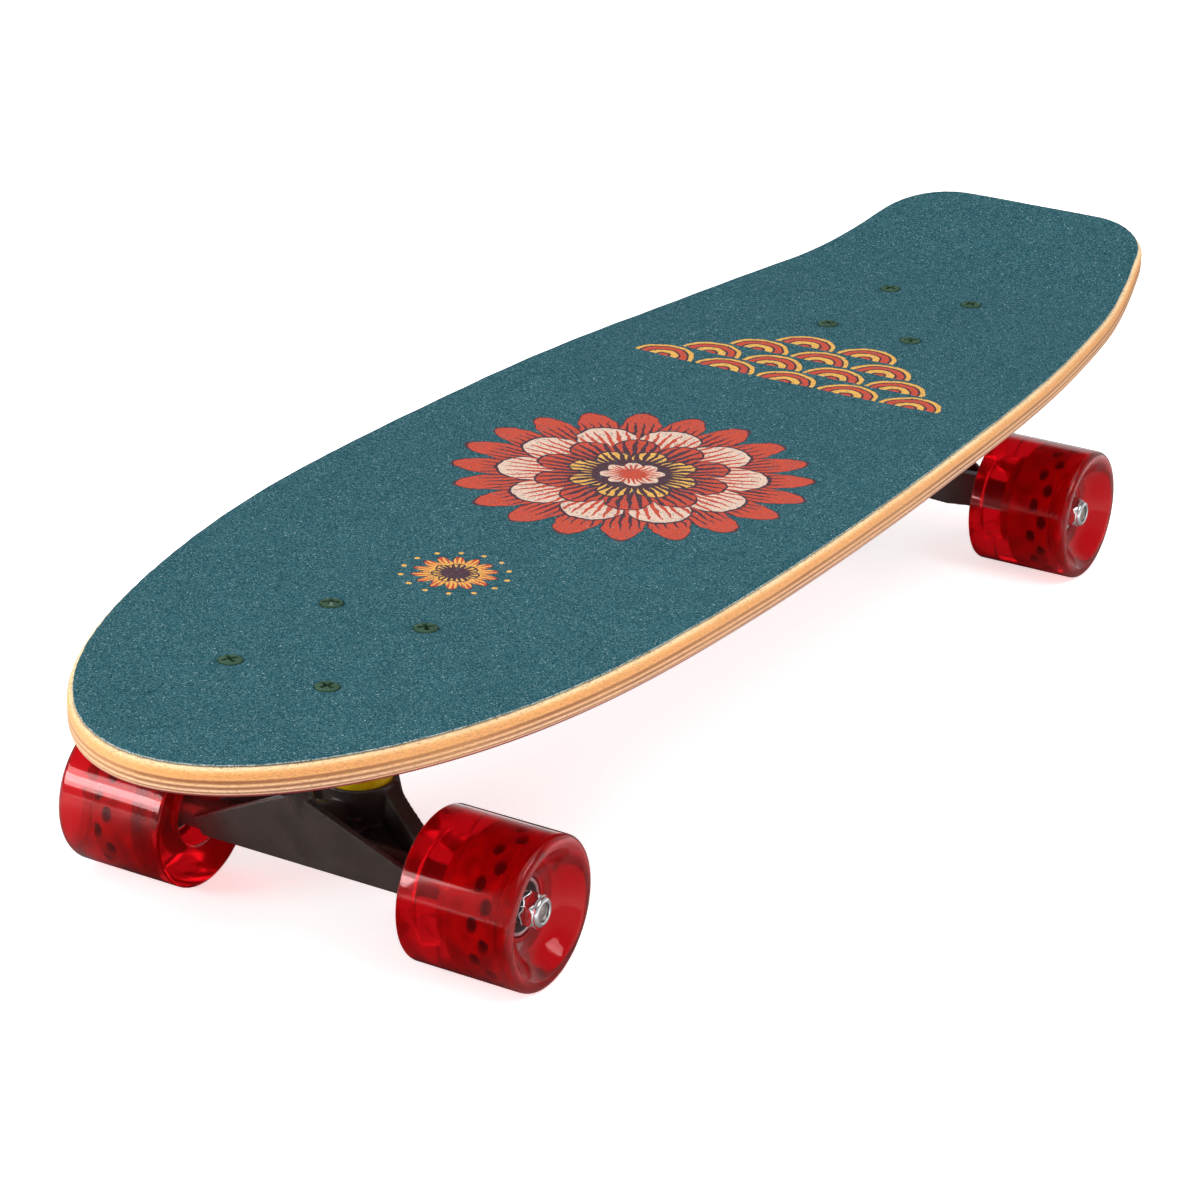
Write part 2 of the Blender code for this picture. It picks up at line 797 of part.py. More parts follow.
def hanger_ring():
    # The ring round the kingpin: a web with a cup on each side, level along its upper rim.
    seat = bushing_diameter / 2 + seat_gap
    hole = kingpin_diameter / 2 + ring_hole_clearance
    web = ring_web_thickness / 2
    tall = 3 * ring_half
    ring = solid("ring", turned([
        (hole, -web), (seat, -web), (seat, -ring_half), (seat + ring_foot_wall, -ring_half),
        (ring_outer_radius, 0), (ring_outer_radius, tall), (seat, tall), (seat, web), (hole, web),
    ], ring_facets, True), kingpin_frame())
    reach = 4 * ring_outer_radius
    cut(ring, block((-reach, -reach, ring_rim_rise), (reach, reach, ring_rim_rise + reach)))
    return ring


def make_hanger(end, steer):
    across = Matrix.Rotation(-math.pi / 2, 4, "X")
    half = hanger_width / 2
    housing_side = [
        (housing_radius, housing_full_half), (housing_end_radius, housing_taper_half),
        (housing_end_radius, half), (0, half),
    ]
    mirrored = [(radius, -distance) for radius, distance in reversed(housing_side)]
    housing = turned(mirrored + housing_side, bearing_facets)
    hanger = solid(f"hanger_{end}", housing, across)
    join(hanger, hanger_face())
    for side in (1, -1):
        join(hanger, hanger_arm(side))
    inboard = ring_centre.x + middle_half_width
    outboard = face_low_outboard - face_plate_thickness / 2
    middle = block(
        (inboard, -middle_half_width, -middle_depth), (outboard, middle_half_width, middle_rise)
    )
    join(hanger, middle)
    join(hanger, hanger_floor())
    inboard_of_stem = Vector((-stem_axis.z, 0, stem_axis.x))
    stem_back = stem_root + stem_root_radius * stem_axis + stem_back_reach * inboard_of_stem
    rib = hull([
        point + Vector((0, side * rib_thickness / 2, 0))
        for side in (1, -1)
        for point in (
            stem_back,
            Vector((face_low_outboard, 0, 0)),
            Vector((inboard, 0, 0)),
            Vector((inboard, 0, ring_centre.z)),
        )
    ])
    join(hanger, rib)
    reach = (pivot_centre - stem_root).length
    ball = pivot_ball_radius
    neck = pivot_neck_radius
    top = [(ball * math.sin(angle), ball * math.cos(angle)) for angle in (0, math.pi / 6, math.pi / 3)]
    waist = [(ball, 0), (ball, -ball_waist_top), (neck, -ball_waist_middle), (neck, -ball_waist_bottom)]
    root = [(stem_root_radius, -stem_taper_end), (stem_root_radius, -reach), (0, -reach)]
    join(hanger, turned(top + waist + root, bearing_facets), stem_frame())
    inside_wall = bushing_diameter / 2 + seat_gap + ring_foot_wall / 2
    kept_free = [
        (0, -swing_reach), (swing_radius, -swing_reach), (swing_radius, -swing_full_depth),
        (inside_wall, seat_gap * 4 - ring_half), (inside_wall, 4 * ring_half), (0, 4 * ring_half),
    ]
    cut(hanger, turned(kept_free, ring_facets), kingpin_frame())
    cut(hanger, rod(bore_radius, -2 * half, 2 * half, bearing_facets), across)
    combine(hanger, hanger_ring(), "UNION")
    finish(hanger, paint("graphite aluminium", (0.045, 0.042, 0.043), 0.42, 0.5), steer, ring_centre)


def bearing_near():
    # The side faces of a wheel's two bearings, as distances along the axle from the truck's middle.
    inner = wheel_track_half - bearing_spacing / 2 - bearing_width
    return inner, inner + bearing_width, wheel_track_half + bearing_spacing / 2, core_outer_face()


def core_outer_face():
    return wheel_track_half + bearing_spacing / 2 + bearing_width


def axle_nut_seat():
    return core_outer_face() + seat_gap


def make_axle(end, steer):
    inner_face, inner_back, outer_back, _ = bearing_near()
    nut_end = axle_nut_seat() + speed_washer_thickness + axle_nut_height + axle_nut_collar_height
    tip = nut_end + axle_past_nut
    collar = axle_radius + spacer_wall
    side = [
        (axle_radius, 0),
        (axle_radius, inner_face - seat_gap - speed_washer_thickness),
        (speed_washer_radius, inner_face - seat_gap - speed_washer_thickness),
        (speed_washer_radius, inner_face - seat_gap),
        (axle_radius, inner_face - seat_gap),
        (axle_radius, inner_back + seat_gap),
        (collar, inner_back + seat_gap),
        (collar, outer_back - seat_gap),
        (axle_radius, outer_back - seat_gap),
        (axle_radius, tip - thread_chamfer),
        (axle_radius - thread_chamfer, tip),
        (0, tip),
    ]
    mirrored = [(radius, -distance) for radius, distance in reversed(side[1:])]
    across = Matrix.Rotation(-math.pi / 2, 4, "X")
    axle = solid(f"axle_{end}", turned(mirrored + side[1:], axle_facets), across)
    finish(axle, paint("zinc steel", (0.6, 0.6, 0.62), 0.3, 1.0), steer, ring_centre)


def outward_frame(side):
    # Local +Z along the axle, away from the truck's middle.
    return Matrix.Rotation(-side * math.pi / 2, 4, "X")


def make_axle_nut(end, hand, side, steer):
    seat = axle_nut_seat()
    hex_low = seat + speed_washer_thickness
    hex_high = hex_low + axle_nut_height
    flats = prism(hexagon(axle_nut_across_flats), hex_low, hex_high)
    nut = solid(f"axle_nut_{end}_{hand}", flats, outward_frame(side))
    washer = rod(speed_washer_radius, seat, hex_low + axle_nut_height / 2, axle_facets)
    join(nut, washer, outward_frame(side))
    collar = axle_nut_collar_diameter / 2
    collar_low = hex_high - axle_nut_height / 2
    collar_high = hex_high + axle_nut_collar_height
    dome = [
        (0, collar_low), (collar, collar_low), (collar, collar_high - axle_nut_collar_rounding / 2),
        (collar - axle_nut_collar_rounding, collar_high), (0, collar_high),
    ]
    join(nut, turned(dome, axle_facets), outward_frame(side))
    cut(nut, rod(bore_radius, 0, 2 * hex_high, axle_facets), outward_frame(side))
    finish(nut, paint("zinc steel", (0.6, 0.6, 0.62), 0.3, 1.0), steer, ring_centre)


# Wheels, made round their own axis with +Z outward

def tyre_profile():
    side = wheel_width / 2
    lip = wheel_radius - wheel_lip_radius
    rim = lip - wheel_rim_width
    bore = bearing_seat_radius + core_wall + seat_gap
    drum = core_drum_radius + seat_gap
    dish = side - wheel_dish_depth
    mouth = core_half + seat_gap
    drum_low = core_drum_offset - core_drum_width / 2 - seat_gap
    drum_high = core_drum_offset + core_drum_width / 2 + seat_gap
    return [
        (wheel_radius, -side + wheel_inner_lip_radius), (wheel_radius, side - wheel_lip_radius),
        (lip, side), (rim, side), (wheel_dish_radius, dish), (bore, mouth),
        (bore, drum_high), (drum, drum_high), (drum, drum_low), (bore, drum_low),
        (bore, -side + wheel_inner_dish_depth), (wheel_radius - wheel_inner_lip_radius, -side),
    ]


def core_profile():
    outer = bearing_seat_radius + core_wall
    land = bearing_spacing / 2 - seat_gap
    drum_low = core_drum_offset - core_drum_width / 2
    drum_high = core_drum_offset + core_drum_width / 2
    return [
        (outer, -core_half), (outer, drum_low), (core_drum_radius, drum_low),
        (core_drum_radius, drum_high), (outer, drum_high), (outer, core_half),
        (bearing_seat_radius, core_half), (bearing_seat_radius, land), (core_land_radius, land),
        (core_land_radius, -land), (bearing_seat_radius, -land), (bearing_seat_radius, -core_half),
    ]


def bearing_profile():
    half = bearing_width / 2
    outer = bearing_diameter / 2
    return [(bore_radius, -half), (outer, -half), (outer, half), (bore_radius, half)]


def make_wheel(end, hand, side, steer):
    spin = empty(f"spin_{end}_{hand}", Vector((0, side * wheel_track_half, 0)) - ring_centre, steer)
    out = outward_frame(side)
    half_facet = math.pi / tread_facets
    tyre = solid(f"tyre_{end}_{hand}", turned(tyre_profile(), tread_facets, True, half_facet), out)
    finish(tyre, paint("clear red urethane", (0.55, 0.01, 0.02), 0.08, clear=0.9), spin)
    core = solid(f"core_{end}_{hand}", turned(core_profile(), core_facets, True, math.pi / core_facets), out)
    floor = core_drum_radius - core_window_depth
    for number in range(core_window_count):
        window = rod(core_window_radius, floor, 2 * core_drum_radius, core_window_sides)
        lay = Matrix.Translation((0, 0, core_window_offset)) @ Matrix.Rotation(math.pi / 2, 4, "Y")
        cut(core, window, out @ Matrix.Rotation(2 * math.pi * number / core_window_count, 4, "Z") @ lay)
    finish(core, paint("clear red core", (0.3, 0.005, 0.01), 0.2, clear=0.5), spin)
    middle = (bearing_spacing + bearing_width) / 2
    for name, facing in (("outer", 1), ("inner", -1)):
        place = Matrix.Translation((0, side * facing * middle, 0)) @ outward_frame(side * facing)
        ring = turned(bearing_profile(), bearing_facets, True)
        bearing = solid(f"bearing_{end}_{hand}_{name}", ring, place)
        finish(bearing, paint("bearing steel", (0.5, 0.5, 0.52), 0.25, 1.0), spin)


def make_truck(end, place, turn):
    truck = empty(f"truck_{end}", (place, 0, axle_height), rotation=(0, 0, turn))
    make_riser(end, truck)
    make_baseplate(end, truck)
    make_pivot_cup(end, truck)
    make_kingpin(end, truck)
    make_bushings(end, truck)
    make_washers(end, truck)
    make_bolts(end, truck)
    steer = empty(f"steer_{end}", ring_centre, truck)
    make_hanger(end, steer)
    make_axle(end, steer)
    # Left is +Y, seen from the tail towards the nose. The rear truck is turned round.
    facing = 1 if turn == 0 else -1
    for hand, side in (("left", facing), ("right", -facing)):
        make_axle_nut(end, hand, side, steer)
        make_wheel(end, hand, side, steer)


clear_scene()
make_deck()
make_truck("front", front_axle_x(), 0)
make_truck("rear", rear_axle_x(), math.pi)
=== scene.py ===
import json
import math
from functools import partial

import bmesh
import bpy
import numpy as np
from mathutils import Matrix, Vector


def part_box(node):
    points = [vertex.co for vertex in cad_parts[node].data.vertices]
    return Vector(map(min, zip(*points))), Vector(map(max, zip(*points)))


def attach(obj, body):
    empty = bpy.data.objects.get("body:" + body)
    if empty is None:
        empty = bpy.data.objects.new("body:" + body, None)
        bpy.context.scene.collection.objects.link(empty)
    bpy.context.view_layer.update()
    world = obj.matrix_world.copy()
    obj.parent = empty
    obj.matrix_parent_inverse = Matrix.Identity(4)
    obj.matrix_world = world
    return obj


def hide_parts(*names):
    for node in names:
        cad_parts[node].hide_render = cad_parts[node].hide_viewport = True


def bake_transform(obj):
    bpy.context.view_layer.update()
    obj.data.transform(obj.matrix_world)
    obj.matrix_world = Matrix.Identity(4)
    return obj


# A kicktail cruiser board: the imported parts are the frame, and every visible surface is dressed here.
# Shapes are worked out in millimetres and written to the meshes in metres. Materials use metres.

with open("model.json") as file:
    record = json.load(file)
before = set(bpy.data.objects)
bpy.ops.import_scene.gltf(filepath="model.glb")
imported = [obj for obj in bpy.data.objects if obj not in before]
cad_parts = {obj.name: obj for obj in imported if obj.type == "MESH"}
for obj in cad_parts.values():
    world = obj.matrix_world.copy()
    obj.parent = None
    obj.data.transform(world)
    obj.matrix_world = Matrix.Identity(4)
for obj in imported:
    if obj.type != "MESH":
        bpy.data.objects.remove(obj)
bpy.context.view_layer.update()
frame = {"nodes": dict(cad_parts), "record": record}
mm = 0.001

joints = {joint["name"]: joint for joint in frame["record"]["behaviour"]["joints"]}


# Shared shapes

def makePiece(name, points, faces, body, slot, node=None, matrix=Matrix(), edgeMap=None, sharp=35):
    # Points in mm and faces by index become one merged mesh that rides on a body. edgeMap gives each
    # point a pair for the piece's own UV map.
    mesh = bpy.data.meshes.new(name)
    mesh.from_pydata((np.asarray(points).reshape(-1, 3) * mm).tolist(), [], faces)
    if edgeMap is not None:
        corners = np.zeros(len(mesh.loops), dtype=np.int32)
        mesh.loops.foreach_get("vertex_index", corners)
        layer = mesh.uv_layers.new(name="pieceMap")
        layer.data.foreach_set("uv", np.asarray(edgeMap).reshape(-1, 2)[corners].ravel())
    tidyMesh(mesh)
    placed = matrix.copy()
    placed.translation = placed.translation * mm
    mesh.transform(placed)
    return enlist(name, mesh, body, slot, node, sharp)


def tidyMesh(mesh):
    bm = bmesh.new()
    bm.from_mesh(mesh)
    bmesh.ops.remove_doubles(bm, verts=bm.verts, dist=1e-7)
    bmesh.ops.dissolve_degenerate(bm, edges=bm.edges, dist=1e-8)
    bmesh.ops.recalc_face_normals(bm, faces=bm.faces)
    bm.to_mesh(mesh)
    bm.free()


def addObject(name, data):
    obj = bpy.data.objects.new(name, data)
    bpy.context.scene.collection.objects.link(obj)
    return obj


def enlist(name, mesh, body, slot, node, sharp=35):
    obj = addObject(name, mesh)
    mesh.shade_smooth()
    mesh.set_sharp_from_angle(angle=math.radians(sharp))
    mesh.materials.clear()
    mesh.materials.append(finishes[slot])
    if body:
        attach(obj, body)
    if node:
        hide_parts(node)
    return obj


def gridFaces(rows, columns, closedRows=False, closedColumns=False):
    # Quads between neighbouring points of a rows by columns grid.
    down = np.arange(rows if closedRows else rows - 1)
    across = np.arange(columns if closedColumns else columns - 1)
    row, column = np.meshgrid(down, across, indexing="ij")
    nextRow, nextColumn = (row + 1) % rows, (column + 1) % columns
    corners = ((row, column), (row, nextColumn), (nextRow, nextColumn), (nextRow, column))
    return np.stack([r * columns + c for r, c in corners], axis=-1).reshape(-1, 4).tolist()


def rounded(corners, radii, steps=5):
    # A polyline whose inner corners become arcs, each leaving its sides at radius / tan(half the angle).
    corners = np.asarray(corners, float)
    radii = np.broadcast_to(np.asarray(radii, float), (len(corners),))
    share = np.linspace(0, 1, steps + 1)[:, None]
    points = [corners[:1]]
    for before, corner, after, radius in zip(corners, corners[1:], corners[2:], radii[1:]):
        toBefore = (before - corner) / np.linalg.norm(before - corner)
        toAfter = (after - corner) / np.linalg.norm(after - corner)
        opening = math.acos(np.clip(toBefore @ toAfter, -1, 1))
        if radius <= 0 or opening > math.radians(175):
            points.append(corner[None])
            continue
        reach = radius / math.tan(opening / 2)
        start, end = corner + toBefore * reach, corner + toAfter * reach
        points.append((1 - share) ** 2 * start + 2 * share * (1 - share) * corner + share ** 2 * end)
    return np.vstack(points + [corners[-1:]])


def ringProfile(corners, radii):
    # A closed profile with rounded corners: the outline is opened in the middle of its first side.
    corners = np.asarray(corners, float)
    start = (corners[0] + corners[1]) / 2
    loop = np.vstack([start, corners[1:], corners[:1], start])
    turned = np.concatenate([[0], np.roll(np.broadcast_to(radii, len(corners)), -1), [0]])
    return rounded(loop, turned)[:-1]


def smoothed(knots, steps=6):
    # A curve through its knots: Catmull-Rom pieces with the end tangents mirrored.
    knots = np.asarray(knots, float)
    padded = np.vstack([2 * knots[0] - knots[1], knots, 2 * knots[-1] - knots[-2]])
    t = np.linspace(0, 1, steps, endpoint=False)[:, None]
    pieces = [
        0.5 * (2 * b + (c - a) * t + (2 * a - 5 * b + 4 * c - d) * t ** 2 + (3 * b - a - 3 * c + d) * t ** 3)
        for a, b, c, d in zip(padded, padded[1:], padded[2:], padded[3:])
    ]
    return np.vstack(pieces + [knots[-1:]])


def turnedPoints(profile, segments, radiusAt=None):
    # A (radius, height) profile swept round Z. radiusAt can change the radius by height and angle.
    profile = np.asarray(profile, float)
    angle = np.arange(segments) * 2 * np.pi / segments
    radius = np.repeat(profile[:, :1], segments, axis=1)
    height = np.repeat(profile[:, 1:], segments, axis=1)
    if radiusAt is not None:
        radius = radiusAt(radius, height, angle[None, :])
    return np.stack([radius * np.cos(angle), radius * np.sin(angle), height], axis=-1)


def turnedPiece(
    name, profile, segments, closed, body, slot, node=None, matrix=Matrix(), radiusAt=None, sharp=35,
    mapAt=None,
):
    # mapAt gives each point's pair for the piece's UV map.
    points = turnedPoints(profile, segments, radiusAt)
    faces = gridFaces(len(points), segments, closedRows=closed, closedColumns=True)
    chart = mapAt(points) if mapAt else None
    return makePiece(name, points, faces, body, slot, node, matrix, chart, sharp)


def hexRadius(acrossFlats, low=None, high=None):
    # A hexagon's radius by angle between two heights, cut by a 30 degree cone at each end face.
    flat, steep = acrossFlats / 2, math.tan(math.radians(60))

    def radiusAt(radius, height, angle):
        bottom = height.min() if low is None else low
        top = height.max() if high is None else high
        hexagon = flat / np.cos((angle + np.pi / 6) % (np.pi / 3) - np.pi / 6)
        cone = flat + np.minimum(height - bottom, top - height) * steep
        onHex = (height > bottom - 1e-6) & (height < top + 0.1) & (radius > flat * 0.999)
        return np.where(onHex, np.minimum(hexagon, cone), radius)

    return radiusAt


def threadRadius(low, high, pitch, depth, shank):
    # A helical thread between two heights on the shank's outer face: a triangle wave of height and angle.
    def radiusAt(radius, height, angle):
        turn = (height / pitch - angle / (2 * np.pi)) % 1
        groove = depth * (1 - np.abs(2 * turn - 1))
        fade = np.clip((height - low) / pitch, 0, 1) * np.clip((high - height) / pitch, 0, 1)
        return radius - groove * ((np.abs(radius - shank) < 1e-6) * fade)

    return radiusAt


def fineRows(profile, low, high, spacing):
    # Adds points to a profile's straight run between two heights, close enough to carry a thread.
    profile = np.asarray(profile, float)
    rows = [profile[:1]]
    for near, far in zip(profile, profile[1:]):
        ends = sorted((near[1], far[1]))
        if abs(near[0] - far[0]) < 1e-6 and ends[0] <= low + 1e-6 and ends[1] >= high - 1e-6:
            heights = np.arange(low, high, spacing)
            if near[1] > far[1]:
                heights = heights[::-1]
            rows.append(np.column_stack([np.full(len(heights), near[0]), heights]))
        rows.append(far[None])
    return np.vstack(rows)


# Places: one frame for each truck, and along its kingpin, pivot stem and axle

truck = {
    "kingpinTilt": 20,  # degrees, top outboard
    "height": 53.6,  # axle to the top of the baseplate
    "axleFromHoles": 5.3,
    "holes": (63.5, 41.3),  # the standard pattern, along and across
    "pivot": (22.0, 42.0),  # the ball's place outboard of the axle and above it
    "stemRoot": (8.0, 16.0),
}


def truckFrame(end):
    x, _, z = joints[f"spin_{end}_left"]["pos_m"]
    turn = 0 if end == "front" else math.pi
    return Matrix.Translation(Vector((x, 0, z)) / mm) @ Matrix.Rotation(turn, 4, "Z")


def ringCentre(end):
    return truckFrame(end).inverted() @ (Vector(joints[f"steer_{end}"]["pos_m"]) / mm)


def kingpinFrame(end):
    tilt = Matrix.Rotation(math.radians(truck["kingpinTilt"]), 4, "Y")
    return truckFrame(end) @ Matrix.Translation(ringCentre(end)) @ tilt


def stemFrame(end):
    (out, up), (rootOut, rootUp) = truck["pivot"], truck["stemRoot"]
    lean = Matrix.Rotation(math.atan2(out - rootOut, up - rootUp), 4, "Y")
    return truckFrame(end) @ Matrix.Translation((out, 0, up)) @ lean


def axleFrame(end, side):
    # Local +Z along the axle, outward on the given side.
    return truckFrame(end) @ Matrix.Rotation(-side * math.pi / 2, 4, "X")


def boltPlaces(end):
    long, wide = truck["holes"]
    for along in (0.5, -0.5):
        for across in (0.5, -0.5):
            yield truckFrame(end) @ Vector((along * long - truck["axleFromHoles"], across * wide, 0))


def handOf(end, side):
    # +Y is the board's left; the rear truck's frame is turned round.
    return "left" if side * (1 if end == "front" else -1) > 0 else "right"


# Material helpers

def linear(colour):
    # An sRGB hex colour as linear red, green, blue and alpha.
    parts = [int(colour[start:start + 2], 16) / 255 for start in (1, 3, 5)]
    return tuple(c / 12.92 if c <= 0.04045 else ((c + 0.055) / 1.055) ** 2.4 for c in parts) + (1,)


def addNode(tree, kind, *values, stops=None, interpolation="LINEAR", **settings):
    # Adds a node with its settings. A word after its kind is its operation or data type. Values, hex
    # colours, nodes and outputs feed its open inputs in order, or by name when they come in a dictionary.
    # stops are the (place, hex colour) pairs of a colour ramp.
    kind, _, choice = kind.partition(" ")
    node = tree.nodes.new("ShaderNode" + kind)
    if choice:
        settings["data_type" if kind == "Mix" else "operation"] = choice
    for name, value in settings.items():
        setattr(node, name, value)
    if stops:
        ramp = node.color_ramp
        ramp.interpolation = interpolation
        ramp.elements.remove(ramp.elements[-1])
        ramp.elements[0].position, ramp.elements[0].color = stops[0][0], linear(stops[0][1])
        for place, colour in stops[1:]:
            ramp.elements.new(place).color = linear(colour)
    if values and isinstance(values[0], dict):
        pairs = [(node.inputs[name], value) for name, value in values[0].items()]
    else:
        pairs = zip([socket for socket in node.inputs if socket.enabled], values)
    for socket, value in pairs:
        if isinstance(value, bpy.types.Node):
            value = next(output for output in value.outputs if output.enabled)
        if isinstance(value, bpy.types.NodeSocket):
            tree.links.new(value, socket)
        else:
            socket.default_value = linear(value) if isinstance(value, str) else value
    return node


def emptyTree(owner):
    owner.use_nodes = True
    owner.node_tree.nodes.clear()
    return partial(addNode, owner.node_tree)


def makeMaterial(name, draw, *details):
    material = bpy.data.materials.new(name)
    add = emptyTree(material)
    add("OutputMaterial", draw(add, *details))
    return material


# Grip sheet: silicon carbide grains glued on a teal printed sheet. It looks matt, speckled and finely rough.

grip = {
    "teal": [
        (0.0, "#163C47"), (0.35, "#27525B"), (0.7, "#38636D"), (0.93, "#50757D"), (0.988, "#67878D"),
        (0.996, "#8CA6A8"), (1.0, "#A9BCBD"),
    ],
    "grain": 0.42,  # mm between grains, drawn coarser than the real 0.3 mm so that it shows
    "relief": 0.12,  # mm
    "cloud": (60.0, 0.24, 0.88),  # scale of soft clouds, their strength and their darkest tone
    "bare": 0.06,  # share of grains that break through the ink
    "inkTone": (0.3, 0.84),  # spread and darkest tone of the inked grains
    "plum": "#533A42",
    "coral": "#C2503F",
    "cream": "#DCC0AE",
    "gold": "#E2AE5A",
    "torn": "#C9CFC8",  # the sheet's pale backing, which shows along its cut edge
    "tornFrom": 0.08,
}

# The large rosette, the small sun near the nose and the fans near the tail, in metres. Each ring: petals,
# base and rise of their edge, point, veins, colours of face and vein, veined share, outline and half turn
rosette = {
    "centre": (0.034, 0.003), "turn": 8, "wobble": 0.0016,
    "rings": [
        (20, 0.056, 0.018, 0.8, 100, "coral", "plum", 0.62, 0.0013, 0),
        (10, 0.041, 0.015, 0.55, 70, "cream", "coral", 0.7, 0.0015, 0),
        (10, 0.030, 0.011, 0.6, 50, "coral", "plum", 0.75, 0.0013, 0.5),
        (8, 0.019, 0.009, 0.7, 40, "gold", "plum", 0.8, 0.0012, 0),
        (8, 0.0105, 0.0035, 0.8, 24, "cream", "coral", 0.6, 0.0010, 0.5),
    ],
    "veinWave": 0.22,
}
smallSun = {
    "centre": (0.164, 0.001), "turn": 0, "wobble": 0.0008,
    "rings": [
        (14, 0.0115, 0.0055, 1.0, 42, "coral", "gold", 0.75, 0.0008, 0),
        (7, 0.0075, 0.002, 0.7, 21, "gold", "plum", 0.8, 0.0008, 0),
    ],
    "veinWave": 0.22,
    "dots": (14, 0.0205, 0.0011),  # count, radius of their circle and of a dot
}
fans = {
    "centre": (-0.098, 0.0), "turn": 0, "wobble": 0.0011,
    "pitch": 0.030, "gap": 0.0008,
    "rows": [(-0.052, 2), (-0.036, 3), (-0.020, 4), (-0.004, 5)],  # place of a row's centres and its count
    "bands": [
        (0.0, "coral"), (0.16, "plum"), (0.24, "gold"), (0.46, "plum"), (0.53, "coral"), (0.73, "plum"),
        (0.80, "gold"), (0.93, "plum"),
    ],
}


def centred(add, vector, motif):
    # Object coordinates moved to a motif's centre and turned, with a hand-drawn wobble.
    place = add("Mapping", {
        "Vector": vector, "Location": (*motif["centre"], 0), "Rotation": (0, 0, math.radians(motif["turn"])),
    }, vector_type="TEXTURE")
    offset = add("VectorMath SUBTRACT", add("TexNoise", place, 170.0, 2.0).outputs["Color"], (0.5, 0.5, 0.5))
    wobble = add("VectorMath SCALE", offset, 2 * motif["wobble"])
    parts = add("SeparateXYZ", add("VectorMath ADD", place, wobble))
    return parts.outputs["X"], parts.outputs["Y"]


def drawRosette(add, vector, motif, under):
    # Rings of pointed petals: each petal's edge is base + rise * |cos(half the petal angle)| ** point.
    x, y = centred(add, vector, motif)
    angle = add("Math ARCTAN2", y, x)
    radius = add("Math SQRT", add("Math MULTIPLY_ADD", y, y, add("Math MULTIPLY", x, x)))
    colour, inked = under, 0.0
    for petals, base, rise, point, veins, face, vein, share, line, halfTurn in motif["rings"]:
        wave = add("Math COSINE", add("Math MULTIPLY_ADD", angle, petals / 2, halfTurn * math.pi))
        tip = add("Math POWER", add("Math ABSOLUTE", wave), point)
        inside = add("Math SUBTRACT", add("Math MULTIPLY_ADD", tip, rise, base), radius)
        mask = add("Math GREATER_THAN", inside, 0.0)
        ripple = add("Math SINE", add("Math MULTIPLY", angle, float(veins)))
        deep = add("Math MULTIPLY", radius, 1 / (base + rise))
        swing = add("Math MULTIPLY_ADD", ripple, motif["veinWave"], deep)
        inner = add("Mix RGBA", add("Math LESS_THAN", swing, share), grip[face], grip[vein])
        petal = add("Mix RGBA", add("Math GREATER_THAN", inside, line), grip["plum"], inner)
        colour = add("Mix RGBA", mask, colour, petal)
        inked = add("Math MAXIMUM", mask, inked)
    if "dots" in motif:
        count, circle, size = motif["dots"]
        side = add("Math MULTIPLY", add("Math PINGPONG", angle, math.pi / count), circle)
        ahead = add("Math SUBTRACT", radius, circle)
        away2 = add("Math MULTIPLY_ADD", side, side, add("Math MULTIPLY", ahead, ahead))
        dot = add("Math LESS_THAN", away2, size ** 2)
        colour = add("Mix RGBA", dot, colour, grip["gold"])
        inked = add("Math MAXIMUM", dot, inked)
    return colour, inked


def drawFans(add, vector, motif, under):
    # Rows of half discs with concentric rings, each row half hidden by the next.
    x, y = centred(add, vector, motif)
    half = motif["pitch"] / 2
    span = add("Math ABSOLUTE", y)
    colour, inked = under, 0.0
    for place, count in motif["rows"]:
        cell = add("Math PINGPONG", add("Math ADD", y, 0.0 if count % 2 else half), half)
        ahead = add("Math SUBTRACT", x, place)
        away = add("Math SQRT", add("Math MULTIPLY_ADD", ahead, ahead, add("Math MULTIPLY", cell, cell)))
        disc = add("Math LESS_THAN", away, half - motif["gap"])
        front = add("Math MULTIPLY", disc, add("Math LESS_THAN", ahead, 0.0))
        mask = add("Math MULTIPLY", front, add("Math LESS_THAN", span, count * half))
        rings = add(
            "ValToRGB", add("Math MULTIPLY", away, 1 / half), interpolation="CONSTANT",
            stops=[(at, grip[name]) for at, name in motif["bands"]],
        )
        colour = add("Mix RGBA", mask, colour, rings)
        inked = add("Math MAXIMUM", mask, inked)
    return colour, inked


def drawGrit(add):
    place = add("TexCoord").outputs["Object"]
    cells = add("TexVoronoi", place, 1 / (grip["grain"] * mm))
    red, green, blue = add("SeparateColor", cells.outputs["Color"]).outputs  # three chances for each grain
    scale, strength, darkest = grip["cloud"]
    drift = add("Math MULTIPLY_ADD", add("TexNoise", place, scale, 3.0), strength, darkest)
    teal = add("VectorMath SCALE", add("ValToRGB", red, stops=grip["teal"]), drift)
    colour, ink = teal, 0.0
    for draw, motif in ((drawFans, fans), (drawRosette, rosette), (drawRosette, smallSun)):
        colour, inked = draw(add, place, motif, colour)
        ink = add("Math MAXIMUM", inked, ink)
    # Single grains break through the ink, and each inked grain is a little lighter or darker
    printed = add("Mix RGBA", add("Math LESS_THAN", green, grip["bare"]), colour, teal)
    toned = add("VectorMath SCALE", printed, add("Math MULTIPLY_ADD", blue, *grip["inkTone"]))
    inkedGrit = add("Mix RGBA", ink, teal, toned)
    down = add("SeparateXYZ", add("UVMap", uv_map="pieceMap")).outputs["Y"]
    ripped = add("Math MULTIPLY", red, add("Math GREATER_THAN", down, grip["tornFrom"]))
    height = add("Math SUBTRACT", blue, cells)
    return add("BsdfPrincipled", {
        "Base Color": add("Mix RGBA", ripped, inkedGrit, grip["torn"]), "Roughness": 1.0,
        "Specular IOR Level": 0.05,
        "Normal": add("Bump", {"Height": height, "Strength": 0.55, "Distance": grip["relief"] * mm}),
    })


